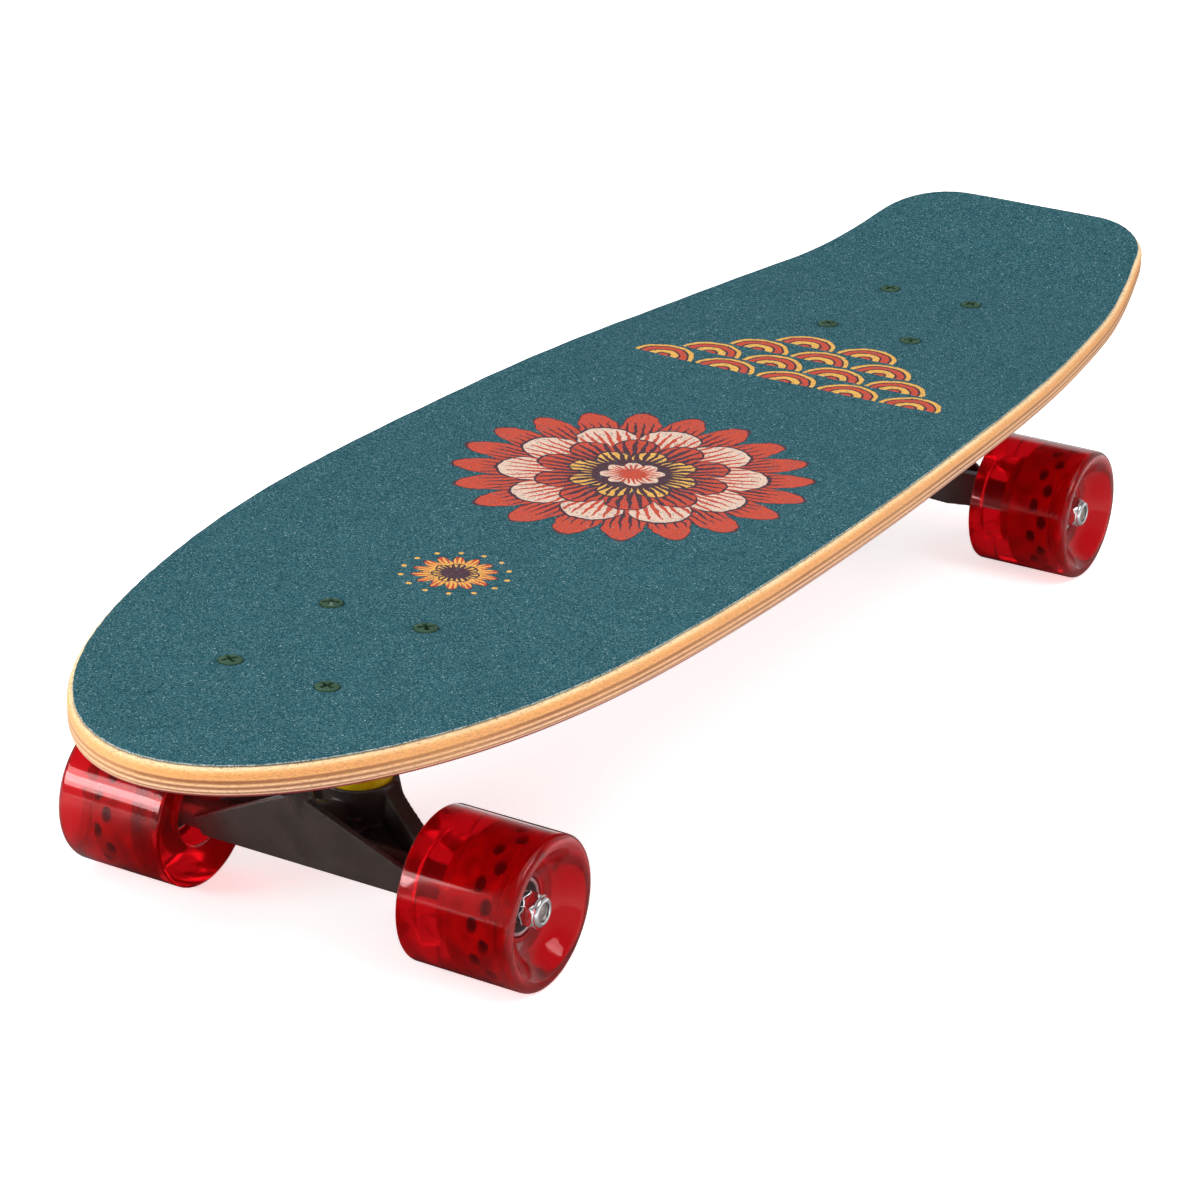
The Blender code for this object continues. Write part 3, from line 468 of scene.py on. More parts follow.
# Deck: seven sanded maple veneers. The edge shows them as stripes, with long pale plies and darker cross
# plies in end grain; the underside is stained red and lacquered.

maple = {
    "plies": [
        (0.0, "#FFE6BC"), (0.05, "#FFD9A2"), (0.09, "#FAC080"), (0.15, "#F3AC66"), (0.26, "#EEA45E"),
        (0.345, "#F4AE6A"), (0.375, "#DA965A"), (0.405, "#A06034"), (0.48, "#A4663A"), (0.52, "#E2A46E"),
        (0.56, "#F9CA9A"), (0.60, "#DC9E70"), (0.625, "#9A6240"), (0.685, "#A36E4A"), (0.715, "#EAB78E"),
        (0.765, "#F4CBA8"), (0.795, "#A87250"), (0.83, "#A6704E"), (0.85, "#EABD9A"), (0.88, "#D09480"),
        (0.892, "#8A2228"), (1.0, "#8E2028"),
    ],
    "thickness": 10.5,  # mm, all seven
    "edgeEnd": 0.88,  # share of the thickness where the stain begins
    "waver": 0.03,  # how far the lines between plies wander, as a share of the thickness
    "slow": 22.0, "ragged": 420.0, "blotch": 75.0, "fading": 14.0,  # scales along the edge
    "across": 0.03,  # metres that the whole thickness spans in those scales
    "fibre": (2.4, 0.3),  # mm length and thickness of the fibre streaks
    "streak": 0.7,
    "blotchTone": (0.14, -0.07),
    "tan": "#EDAD70",  # end grain that hides the lines in places, up to this share
    "hidden": 0.35,
    "pore": (2.0, 24.0),  # mm between the open vessels, which show as short brown ticks, and their rows
    "poreBrown": "#A8703F",
    "longGrain": (7.0, 190.0, 40.0),
    "stain": [(0.32, "#7E1A1F"), (0.62, "#A3262A")],
    "relief": 0.12,  # mm
}


def drawMaple(add):
    along, depth, _ = add("SeparateXYZ", add("UVMap", uv_map="pieceMap")).outputs
    # Plies waver slowly, and their glue lines are ragged
    flow = add("CombineXYZ", along, add("Math MULTIPLY", depth, maple["across"]))
    waver = maple["waver"]
    slow = add("Math MULTIPLY_ADD", add("TexNoise", flow, maple["slow"], 3.0), 2 * waver, -waver)
    shift = add("Math MULTIPLY_ADD", add("TexNoise", flow, maple["ragged"], 2.0), 0.6 * waver, slow)
    edgeOnly = add("Math LESS_THAN", depth, maple["edgeEnd"])
    plies = add("ValToRGB", add("Math MULTIPLY_ADD", shift, edgeOnly, depth), stops=maple["plies"])
    # End grain: short streaks across the plies
    length, thickness = maple["fibre"]
    fibre = add("TexNoise", add(
        "CombineXYZ", add("Math MULTIPLY", along, 1 / (length * mm)),
        add("Math MULTIPLY", depth, maple["thickness"] / thickness),
    ), 1.0, 4.0, 0.75)
    streak = add("Math MULTIPLY_ADD", fibre, 2 * maple["streak"], 1 - maple["streak"])
    tone = add("Math MULTIPLY_ADD", add("TexNoise", flow, maple["blotch"], 2.0), *maple["blotchTone"])
    # In places the veneers' end grain hides the lines between them
    faded = add("MapRange", add("TexNoise", flow, maple["fading"], 2.0), 0.35, 0.62, 0.0, maple["hidden"])
    veneers = add("Mix RGBA", add("Math MULTIPLY", faded, edgeOnly), plies, maple["tan"])
    grained = add("VectorMath SCALE", veneers, add("Math ADD", streak, tone))
    apart, rows = maple["pore"]
    pores = add("TexVoronoi", add(
        "CombineXYZ", add("Math MULTIPLY", along, 1 / (apart * mm)), add("Math MULTIPLY", depth, rows),
    ), 1.0)
    edge = add("Mix RGBA", add("MapRange", pores, 0.14, 0.32, 0.6, 0.0), grained, maple["poreBrown"])
    # Underside: the stain lies darker in the veneer's long grain
    grainPlace = add("Mapping", {"Vector": add("TexCoord").outputs["Object"], "Scale": maple["longGrain"]})
    grain = add("TexNoise", {
        "Vector": grainPlace, "Scale": 1.0, "Detail": 5.0, "Roughness": 0.6, "Distortion": 0.4,
    })
    under = add("Math GREATER_THAN", depth, 0.985)
    height = add("Math ADD", fibre, grain)
    return add("BsdfPrincipled", {
        "Base Color": add("Mix RGBA", under, edge, add("ValToRGB", grain, stops=maple["stain"])),
        "Roughness": add("Mix", under, 0.55, 0.3),
        "Normal": add("Bump", {"Height": height, "Strength": 0.25, "Distance": maple["relief"] * mm}),
    })


# Metals, rubbers and urethanes: common name, two colours, metallic, roughness range, grain and relief in mm,
# and what else the surface needs

surfaces = {
    # Dull, faintly mottled
    "riser_rubber": ("Moulded black rubber", "#161617", "#1F1F20", 0.0, (0.55, 0.7), 0.9, 0.03),
    # Satin with a soft orange peel
    "cast_aluminium_dark": (
        "Tumbled cast aluminium, black lacquer", "#17181A", "#232427", 0.25, (0.36, 0.5), 1.1, 0.05,
    ),
    # Dark brown-black that picks up wide soft reflections
    "graphite_aluminium": (
        "Cast aluminium, satin black powder coat", "#3A322F", "#463D3A", 0.0, (0.34, 0.46), 0.8, 0.035,
    ),
    # Near black, soft highlight
    "black_urethane": ("Black nitrile seal", "#0B0B0C", "#151516", 0.0, (0.4, 0.55), 0.6, 0.02),
    # Bright, slightly bluish, with faint handling marks
    "zinc_steel": ("Zinc plated steel", "#DADCDF", "#F3F4F5", 1.0, (0.06, 0.15), 1.6, 0.006),
    # Dull olive green, almost without shine
    "dark_zinc_steel": (
        "Olive coated steel", "#284131", "#42604B", 0.0, (0.5, 0.6), 0.7, 0.02, {"Specular IOR Level": 0.06},
    ),
    # Mirror-like rings
    "bearing_steel": ("Ground bearing steel", "#C3C6C9", "#DCDEE0", 1.0, (0.1, 0.2), 1.2, 0.004),
    # Greyer than the plated nut, with lathe marks
    "axle_steel": ("Turned alloy steel", "#A39A96", "#BDB5B0", 1.0, (0.36, 0.48), 0.5, 0.01),
    # Waxy, with a soft highlight
    "yellow_urethane": (
        "Cast yellow urethane", "#E3B902", "#F3D30C", 0.0, (0.28, 0.38), 2.0, 0.02,
        {"Subsurface Weight": 0.5, "Subsurface Radius": (0.004, 0.003, 0.0008), "Subsurface Scale": 1.0},
    ),
}


def drawSurface(add, dark, light, metallic, rough, grain, relief, more={}):
    place = add("TexCoord").outputs["Object"]
    fine = add("TexNoise", place, 1 / (grain * mm), 3.0)
    cloud = add("TexNoise", place, 90.0, 4.0, 0.6)
    share = add("MapRange", add("Math ADD", fine, cloud), 0.75, 1.25)
    return add("BsdfPrincipled", {
        "Base Color": add("ValToRGB", share, stops=[(0.0, dark), (1.0, light)]), "Metallic": metallic,
        "Roughness": add("MapRange", cloud, 0.3, 0.7, *rough),
        "Normal": add("Bump", {"Height": fine, "Strength": 0.6, "Distance": relief * mm}), **more,
    })


# Tyre: poured clear polyurethane, tinted red. Light passes and bends; the skin is glossy with a faint bloom.

clearRed = {
    "tint": "#E60C18",
    "shadow": "#E8404A",
    "index": 1.42,
    "skin": (0.06, 1.36),  # roughness and index of the glossy skin
    "clear": 0.94,  # share of light that passes straight; the rest spreads in the resin and looks milky
    "spread": (0.010, 0.002, 0.002),
    "rough": (0.10, 0.17),
    "bloom": (3.0, 0.03),  # mm between its spots, and their relief
}


def drawClearRed(add):
    spots, relief = clearRed["bloom"]
    bloom = add("TexNoise", add("TexCoord").outputs["Object"], 1 / (spots * mm), 3.0)
    glass = add("BsdfPrincipled", {
        "Base Color": clearRed["tint"], "Roughness": add("MapRange", bloom, 0.35, 0.7, *clearRed["rough"]),
        "IOR": clearRed["index"], "Transmission Weight": clearRed["clear"], "Specular Tint": clearRed["tint"],
        "Subsurface Weight": 1.0, "Subsurface Radius": clearRed["spread"], "Subsurface Scale": 1.0,
        "Coat Weight": 1.0, "Coat Roughness": clearRed["skin"][0], "Coat IOR": clearRed["skin"][1],
        "Normal": add("Bump", {"Height": bloom, "Strength": 0.2, "Distance": relief * mm}),
    })
    # Lamps reach the core through the tyre
    passing = add("BsdfTransparent", clearRed["shadow"])
    return add("MixShader", add("LightPath").outputs["Is Shadow Ray"], glass, passing)


# Core: injection moulded red plastic, deeper than the tyre round it, with painted near black shade in its
# window pits

# window: painted shade that fills the window pits, darkest at their bottoms
core = {"flow": [(0.35, "#840B14"), (0.65, "#B5111A")], "window": "#180102"}


def drawCoreRed(add):
    flow = add("TexNoise", add("TexCoord").outputs["Object"], 140.0, 3.0)
    # Painted shade: the window pits turn near black with their depth
    paintedPitShade = add("SeparateXYZ", add("UVMap", uv_map="pieceMap"))
    return add("BsdfPrincipled", {
        "Base Color": add("Mix RGBA", paintedPitShade, add("ValToRGB", flow, stops=core["flow"]), core["window"]),
        "Roughness": 0.3, "Subsurface Weight": 0.3, "Subsurface Radius": (0.006, 0.001, 0.001),
        "Subsurface Scale": 1.0,
    })


finishes = {
    "grit_sheet": makeMaterial("Silicon carbide grip sheet", drawGrit),
    "maple_plies": makeMaterial("Sanded maple plywood with a red stained face", drawMaple),
    "clear_red_urethane": makeMaterial("Clear red polyurethane", drawClearRed),
    "clear_red_core": makeMaterial("Moulded red nylon", drawCoreRed),
}
for slotName, (commonName, *details) in surfaces.items():
    finishes[slotName] = makeMaterial(commonName, drawSurface, *details)
print("materials made:", len(finishes))


# Deck and grip sheet: one surface whose rows run from a spine line out over the edge and back beneath

deck = {
    "length": 724.0,
    "width": 216.0,
    "widestFromNose": 287.0,
    "noseFullness": 2.35,
    "tailTaperReach": 527.0,
    "tailCorner": 36.0,
    "edge": (2.0, 2.4),  # inset and height of the rounded edge
    "kickFromHoles": 44.5,
    "kickBend": 240.0,
    "kickAngle": 14.3,
    "concave": (3.2, 60.0, 160.0),  # rise at the edge, width of the flat middle and length of the fade
    "concavePastHoles": 36.0,
    "concaveBeforeHoles": 6.0,
    "spineFromNose": 100.0,
    "spineFromTail": 70.0,
    "rows": 22,
    "gripThickness": 0.7,
    "gripCut": 0.09,  # mm of waviness along the grip's trimmed edge
    "gripEdge": (0.3, 0.3),
    "holeGap": 0.3,
}


def deckOutline():
    # Nose: x = reach * sin(angle) ** (2 / fullness), y = half width * cos(angle). Side: an ellipse's quarter.
    # Tail: an arc between side and straight end. Gives (x, y) and outward normals round the whole board.
    half, nose, reach = deck["width"] / 2, deck["length"] / 2, deck["widestFromNose"]
    widest, power, corner = nose - reach, deck["noseFullness"], deck["tailCorner"]
    angle = np.linspace(np.pi / 2, 0, 91)[:-1]
    along = np.sin(angle) ** (2 / power)
    nosePoints = np.column_stack([widest + reach * along, half * np.cos(angle)])
    noseNormals = np.column_stack([power * along ** (power - 1) / reach, 2 * nosePoints[:, 1] / half ** 2])

    def sideAt(x):
        back = (widest - x) / deck["tailTaperReach"]
        y = half * np.sqrt(1 - back ** 2)
        normal = np.column_stack([-2 * back / deck["tailTaperReach"], 2 * y / half ** 2])
        return np.column_stack([x, y]), normal / np.linalg.norm(normal, axis=1)[:, None]

    scan = np.linspace(-nose, widest, 20001)
    inside = scan - corner * sideAt(scan)[1][:, 0] > -nose + corner
    sidePoints, sideNormals = sideAt(np.linspace(widest, scan[np.argmax(inside)], 70))
    centre = sidePoints[-1] - corner * sideNormals[-1]
    arc = np.linspace(math.atan2(sideNormals[-1, 1], sideNormals[-1, 0]), np.pi, 18)[1:]
    arcNormals = np.column_stack([np.cos(arc), np.sin(arc)])
    endY = np.linspace(centre[1], 0, 14)[1:]
    endPoints = np.column_stack([np.full(len(endY), -nose), endY])
    points = np.vstack([nosePoints, sidePoints, centre + corner * arcNormals, endPoints])
    normals = np.vstack([noseNormals, sideNormals, arcNormals, np.tile([-1.0, 0.0], (len(endY), 1))])
    normals /= np.linalg.norm(normals, axis=1)[:, None]
    mirror = np.array([1.0, -1.0])
    return np.vstack([points, points[-2::-1] * mirror]), np.vstack([normals, normals[-2::-1] * mirror])


def holesX(end):
    axleX = joints[f"spin_{end}_left"]["pos_m"][0] / mm
    return axleX - truck["axleFromHoles"] * (1 if end == "front" else -1)


def smoothStep(value):
    value = np.clip(value, 0, 1)
    return value ** 2 * (3 - 2 * value)


def deckRise(x, y):
    # Kick: an arc, then its tangent. Concave: a square law past the flat middle, faded in from both ends.
    past = holesX("rear") - deck["kickFromHoles"] - x
    angle = math.radians(deck["kickAngle"])
    bend = deck["kickBend"] * math.sin(angle)
    arc = deck["kickBend"] - np.sqrt(np.maximum(deck["kickBend"] ** 2 - np.clip(past, 0, bend) ** 2, 0))
    kick = arc + np.maximum(past - bend, 0) * math.tan(angle)
    rise, width, fade = deck["concave"]
    behind = smoothStep((x - holesX("rear") - deck["concaveBeforeHoles"]) / fade)
    ahead = smoothStep((holesX("front") + deck["concavePastHoles"] - x) / fade)
    out = np.maximum(np.abs(y) - width / 2, 0) / (deck["width"] / 2 - width / 2)
    return kick + rise * behind * ahead * out ** 2


def boardSheet(name, top, thickness, edge, slot, node, waver=0.0):
    # edge holds the rim's (inset, depth) pairs from the top face round to the bottom face.
    outline, normals = deckOutline()
    run = np.concatenate([[0], np.cumsum(np.linalg.norm(np.diff(outline, axis=0), axis=1))])
    ragged = waver * (np.sin(run * 2.3) + 0.7 * np.sin(run * 1.13 + 2) + 0.6 * np.sin(run * 0.19 + 1))
    nose = deck["length"] / 2
    spineX = np.clip(outline[:, 0], -nose + deck["spineFromTail"], nose - deck["spineFromNose"])
    spine = np.column_stack([spineX, np.zeros(len(outline))])
    rim = outline - (edge[0][0] + ragged)[:, None] * normals
    share = np.linspace(0, 1, deck["rows"], endpoint=False)[:, None, None]
    face = spine + (rim - spine) * share
    rimRise = deckRise(rim[:, 0], rim[:, 1])
    topRows = np.dstack([face, top + deckRise(face[..., 0], face[..., 1])])
    edgeRows = np.array([
        np.column_stack([outline - (inset + ragged)[:, None] * normals, top + rimRise - depth])
        for inset, depth in edge
    ])
    points = np.concatenate([topRows, edgeRows, topRows[::-1] - np.array([0, 0, thickness])])
    depthShare = np.concatenate([
        np.zeros(len(topRows)), np.array([depth for _, depth in edge]) / thickness, np.ones(len(topRows)),
    ])
    chart = np.stack(np.broadcast_arrays(run[None, :] * mm, depthShare[:, None]), axis=-1)
    faces = gridFaces(points.shape[0], points.shape[1])
    piece = makePiece(name, points, faces, "deck", slot, node, edgeMap=chart)
    drillBolts(piece)
    return piece


def drillBolts(piece):
    # Eight countersunk holes, cut at once by one mesh of turned drills.
    head, shank = bolt["head"] / 2 + deck["holeGap"], bolt["shank"] / 2 + deck["holeGap"]
    low, high, seat = deckLow - 30, gripTop + 30, bolt["top"] - bolt["headDepth"]
    profile = [(0, low), (shank, low), (shank, seat), (head, bolt["top"]), (head, high), (0, high)]
    single = turnedPoints(profile, 48)
    quads = np.array(gridFaces(len(profile), 48, closedColumns=True))
    places = [(place.x, place.y, 0) for end in ("front", "rear") for place in boltPlaces(end)]
    points = np.concatenate([single + np.array(place) for place in places])
    faces = np.concatenate([quads + k * len(profile) * 48 for k in range(len(places))]).tolist()
    applyTool(piece, makePiece("drill", points, faces, None, "zinc_steel"))


def applyTool(piece, tool):
    modifier = piece.modifiers.new("Cut", "BOOLEAN")
    modifier.operation = "DIFFERENCE"
    modifier.solver = "EXACT"
    modifier.object = tool
    settle(piece)
    bpy.data.objects.remove(tool)


def settle(piece):
    # Keeps the mesh that the modifiers give and drops them.
    bpy.context.view_layer.update()
    graph = bpy.context.evaluated_depsgraph_get()
    mesh = bpy.data.meshes.new_from_object(piece.evaluated_get(graph))
    piece.modifiers.clear()
    old, piece.data = piece.data, mesh
    bpy.data.meshes.remove(old)
    while len(mesh.materials) > 1:
        mesh.materials.pop(index=len(mesh.materials) - 1)
    return mesh


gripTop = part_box("truck_bolt_front_1")[1].z / mm + 0.1
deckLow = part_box("deck")[0].z / mm
bolt = {
    "head": 8.9,
    "shank": 4.8,
    "headDepth": 2.9,
    "top": gripTop - 0.1,
    "dome": 0.5,
    "rim": 0.5,
    "recess": (2.9, 1.6, 2.6),  # reach of an arm, its width, and depth
    "threaded": 9.0,
    "turn": 1.3,  # radians from one bolt to the next
}


def quarterEdge(inset, height, thickness, steps=7):
    # Quarter ellipses at the top and the bottom of the rim.
    angle = np.linspace(0, np.pi / 2, steps)
    ring = [(inset * (1 - math.sin(a)), height * (1 - math.cos(a))) for a in angle]
    return ring + [(i, thickness - d) for i, d in ring[::-1]]


thickness = maple["thickness"]
deckEdge = quarterEdge(*deck["edge"], thickness)
deckPiece = boardSheet("maple_deck", deckLow + thickness, thickness, deckEdge, "maple_plies", "deck")
thickness = deck["gripThickness"]
gripEdge = [(deck["edge"][0] + i, d) for i, d in quarterEdge(*deck["gripEdge"], thickness, 3)]
gripPiece = boardSheet("grip_sheet", gripTop, thickness, gripEdge, "grit_sheet", "grip_tape", deck["gripCut"])
print("deck and grip:", len(deckPiece.data.polygons), len(gripPiece.data.polygons))


# Truck bolts: a countersunk head with a shallow dome and a cross recess, and a flanged locknut below

locknut = {"acrossFlats": 9.5, "height": 5.0, "collar": 4.1, "collarHeight": 1.2, "pitch": 0.8, "depth": 0.3}


def crossDrill():
    # A plus-shaped outline that narrows downwards to a blunt point, standing in the head.
    reach, width, depth = bolt["recess"]
    quarter = np.array([[0, -1], [1, 0]])
    rows = []
    for share, height in ((0.4, -depth), (0.75, -0.75 * depth), (1.0, 0), (1.15, 1.5)):
        long, wide = reach * share, width / 2 * (0.6 + 0.4 * share)
        corner = np.array([(long, -wide), (long, wide), (wide, wide)])
        ring = np.concatenate([corner @ np.linalg.matrix_power(quarter, k).T for k in range(4)])
        rows.append(np.column_stack([ring, np.full(12, height)]))
    caps = [list(range(12)), list(range(47, 35, -1))]
    return makePiece("cross", np.array(rows), gridFaces(4, 12, closedColumns=True) + caps, None, "zinc_steel")


def makeBolts(end):
    head, shank, top = bolt["head"] / 2, bolt["shank"] / 2, bolt["top"]
    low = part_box(f"truck_bolt_{end}_1")[0].z / mm
    angles = np.linspace(0, 1, 7) * 1.05
    dome = [(head * math.sin(a), bolt["rim"] + bolt["dome"] * (math.cos(a * 1.5) - 0.25)) for a in angles]
    crown = [(r / dome[-1][0] * head * 0.985, h) for r, h in dome]
    foot = low - top
    profile = [(0, foot), (shank - 0.5, foot), (shank, foot + 0.5), (shank, -bolt["headDepth"]), (head, 0)]
    profile += [(head, bolt["rim"] * 0.6)] + crown[::-1]
    run = (foot + 0.5, foot + bolt["threaded"])
    template = turnedPiece(
        "bolt", fineRows(profile, *run, 0.2), 48, False, None, "dark_zinc_steel",
        radiusAt=threadRadius(*run, locknut["pitch"], locknut["depth"], shank),
    )
    applyTool(template, crossDrill())
    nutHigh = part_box(f"locknut_{end}_1")[1].z / mm
    bore, flat, collar = shank + 0.15, locknut["acrossFlats"] / 2, locknut["collar"]
    height = locknut["height"]
    step = height - locknut["collarHeight"]
    body = [
        (bore, 0), (flat, 0), (flat, height - 1.3), (flat, step), (collar, step), (collar, height - 0.4),
        (collar - 0.4, height), (bore, height),
    ]
    for number, place in enumerate(boltPlaces(end), 1):
        spin = Matrix.Rotation(number * bolt["turn"], 4, "Z")
        mesh = template.data.copy()
        mesh.transform(Matrix.Translation(Vector((place.x, place.y, top)) * mm) @ spin)
        enlist(f"cross_bolt_{end}_{number}", mesh, "deck", "dark_zinc_steel", f"truck_bolt_{end}_{number}")
        seat = Matrix.Translation((place.x, place.y, nutHigh)) @ Matrix.Rotation(math.pi, 4, "X") @ spin
        turnedPiece(
            f"flange_locknut_{end}_{number}", body, 72, True, "deck", "dark_zinc_steel",
            f"locknut_{end}_{number}", seat, hexRadius(locknut["acrossFlats"]),
        )
    bpy.data.objects.remove(template)


# Castings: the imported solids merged, remeshed finely and relaxed, so that edges carry a cast radius.
# Each: solid, name, body, finish, mm between the new mesh's points, and rounds of smoothing

castings = [
    ("riser_pad", "rubber_riser", "deck", "riser_rubber", 0.75, 4),
    ("baseplate", "cast_baseplate", "deck", "cast_aluminium_dark", 0.7, 5),
    ("hanger", "cast_hanger", "hanger_{end}", "graphite_aluminium", 0.62, 5),
]


def makeCasting(end, solid, name, body, slot, voxel, rounds):
    mesh = frame["nodes"][f"{solid}_{end}"].data.copy()
    tidyMesh(mesh)
    piece = enlist(f"{name}_{end}", mesh, body.format(end=end), slot, f"{solid}_{end}", 180)
    remesh = piece.modifiers.new("Cast skin", "REMESH")
    remesh.mode = "VOXEL"
    remesh.voxel_size = voxel * mm
    relax = piece.modifiers.new("Cast radius", "SMOOTH")
    relax.factor = 0.5
    relax.iterations = rounds
    mesh = settle(piece)
    mesh.shade_smooth()
    mesh.materials.clear()
    mesh.materials.append(finishes[slot])
    print(piece.name, "faces:", len(mesh.polygons))


# Kingpin stack, in heights along the kingpin from the ring's middle

stack = {
    "shank": 4.75,
    "web": 4.3,  # half the ring's web and the gap to the bushing
    "gap": 0.3,
    "boardBushing": 15.0,
    "roadBushing": 11.0,
    "bushing": 12.5,
    "roadEnd": 10.25,
    "bore": 5.05,
    "edge": 1.3,
    "bulge": 0.35,
    "washer": 1.5,
    "washerRim": 1.7,
    "washerWall": 1.3,
    "nutFlats": 14.3,
    "nutHeight": 9.0,
    "nutCollar": 2.4,
    "pastNut": 2.0,
    "thread": (1.3, 0.6),  # pitch and depth
    "headFlats": 14.0,
    "headHeight": 6.0,
    "headSunk": 4.0,
}


def makeKingpin(end):
    s, bore, gap = stack, stack["bore"], stack["gap"]
    place = kingpinFrame(end)
    boardTop, roadLow = s["web"] + s["boardBushing"], -s["web"] - s["roadBushing"]
    for name, near, far, farRadius in (
        ("board", s["web"], boardTop, s["bushing"]), ("road", -s["web"], roadLow, s["roadEnd"]),
    ):
        middle = ((s["bushing"] + farRadius) / 2 + s["bulge"], (near + far) / 2)
        corners = [(bore, near), (s["bushing"], near), middle, (farRadius, far), (bore, far)]
        piece = turnedPiece(
            f"{name}side_bushing_{end}", ringProfile(corners, [0.4, s["edge"], 30, s["edge"], 0.4]), 96, True,
            None, "yellow_urethane", f"{name}_bushing_{end}", place,
        )
        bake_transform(piece)
    for name, high, towards, radius in (
        ("upper", boardTop + gap, -1, s["bushing"]), ("lower", roadLow - gap, 1, s["roadEnd"]),
    ):
        back, rim = high - towards * s["washer"], high + towards * s["washerRim"]
        inner, outer = radius + gap, radius + gap + s["washerWall"]
        corners = [(bore, high), (inner, high), (inner, rim), (outer, rim), (outer, back), (bore, back)]
        turnedPiece(
            f"cup_washer_{name}_{end}", ringProfile(corners, [0.2, 0.5, 0.4, 0.5, 0.9, 0.2]), 96, True,
            "deck", "zinc_steel", f"{name}_cup_washer_{end}", place,
        )
    nutTop = roadLow - gap - s["washer"] - gap
    nutLow = nutTop - s["nutHeight"]
    tip = nutLow - s["pastNut"]
    plate = (truck["height"] - ringCentre(end).z) / math.cos(math.radians(truck["kingpinTilt"]))
    headSeat = plate - s["headSunk"] - s["headHeight"]
    flat, headTop = s["headFlats"] / 2, headSeat + s["headHeight"]
    shank = [
        (0, tip), (s["shank"] - 0.8, tip), (s["shank"], tip + 0.8), (s["shank"], headSeat), (flat, headSeat),
        (flat, headTop), (0, headTop),
    ]
    thread = threadRadius(tip + 0.8, nutTop, *s["thread"], s["shank"])
    hexHead = hexRadius(s["headFlats"])

    def pinRadius(*at):
        return np.where(at[1] > headSeat - 1e-6, hexHead(*at), thread(*at))

    turnedPiece(
        f"threaded_kingpin_{end}", fineRows(shank, tip + 0.8, nutTop, 0.22), 72, False, "deck", "zinc_steel",
        f"kingpin_{end}", place, pinRadius,
    )
    flat, collar, step = s["nutFlats"] / 2, s["nutFlats"] / 2 - 1.0, nutLow + s["nutCollar"]
    nut = [
        (bore, nutTop), (flat, nutTop), (flat, nutTop - 1), (flat, step + 1), (flat, step), (collar, step),
        (collar, nutLow + 0.8), (collar - 0.8, nutLow), (bore, nutLow),
    ]
    turnedPiece(
        f"kingpin_locknut_{end}", nut, 96, True, "deck", "zinc_steel", f"kingpin_nut_{end}", place,
        hexRadius(s["nutFlats"]),
    )


pivot = {"ball": 5.2, "gap": 0.3, "wall": 1.8, "length": 5.8}


def makePivotCup(end):
    inner, length = pivot["ball"] + pivot["gap"], pivot["length"]
    outer = inner + pivot["wall"]
    arc = [(inner * math.sin(a), inner * math.cos(a)) for a in np.linspace(0, math.pi / 2, 10)]
    mouth = [(inner, -length / 2), (inner + 0.5 * pivot["wall"], -length)]
    lip = [(outer - 0.3, -length - 0.25), (outer, -length), (outer, outer), (0, outer)]
    turnedPiece(
        f"pivot_bushing_{end}", arc + mouth + lip, 72, False, "deck", "black_urethane", f"pivot_cup_{end}",
        stemFrame(end),
    )


# Wheels: pairs of radius and distance outward from the wheel's middle

wheel = {
    "track": 74.9,  # truck middle to wheel middle
    "radius": 29.35,
    "half": 23.5,
    "outerLip": 3.2,
    "outerFace": [
        (25.6, 23.35), (24.2, 22.7), (21.8, 20.0), (18.6, 16.2), (15.6, 13.9), (13.3, 12.75), (12.9, 12.6),
    ],
    "innerLip": 1.2,
    "innerFace": [
        (28.1, 23.45), (27.0, 23.3), (23.0, 22.75), (18.5, 22.1), (14.6, 21.4), (13.2, 20.4), (12.9, 17.5),
        (12.9, 12.6),
    ],
}
hub = {
    "bore": 11.3,
    "wall": 13.4,
    "half": 12.3,
    "land": (6.5, 5.0),  # radius and half length of the shoulder between the bearings
    "drum": 19.5,
    "drumFrom": -7.0,
    "drumTo": 11.5,
    "chamfer": 0.6,
    "windows": 9,
    "window": (2.5, 1.9, 3.2),  # half sizes round and along the drum, and depth
    "slope": (1.15, 0.25),  # where a window's rim begins and how wide it slopes, as shares of its half size
    "columns": (4.6, 9.2),
}
bearing = {"bore": 4.25, "inner": 6.1, "seal": 9.4, "outer": 11.0, "half": 3.5, "sunk": 0.35, "place": 8.5}
axle = {
    "radius": 3.95, "bush": 5.35, "washer": 6.2, "hex": 12.7, "hexHeight": 6.0, "collar": 5.85,
    "inner": 12.0, "nut": 12.6,  # from the wheel's middle in to the core and out to the nut
    "collars": ((-1.3, -0.3), (7.3, 16.7)), "threadFrom": 24.5,  # outward from the core's inner end
    "recessed": 0.8,
    "chamfer": 0.7,
    "thread": (1.0, 0.35),  # pitch and depth
}


def makeTyre(which, matrix):
    half, radius = wheel["half"], wheel["radius"]
    sides = []
    for side, steps in (("outer", 10), ("inner", 8)):
        face = wheel[side + "Face"]
        corner = np.array([(radius, 0), (radius, half), (face[0][0], half)])
        sides.append(np.vstack([rounded(corner, wheel[side + "Lip"], steps)[1:-1], smoothed(face)]))
    tread = [(radius, s) for s in np.linspace(-half + wheel["innerLip"], half - wheel["outerLip"], 8)[1:-1]]
    profile = np.vstack([(sides[1] * np.array([1, -1]))[::-1], tread, sides[0]])
    turnedPiece(
        f"poured_tyre_{which}", profile, 192, True, f"wheel_{which}", "clear_red_urethane", f"tyre_{which}",
        matrix, sharp=50,
    )


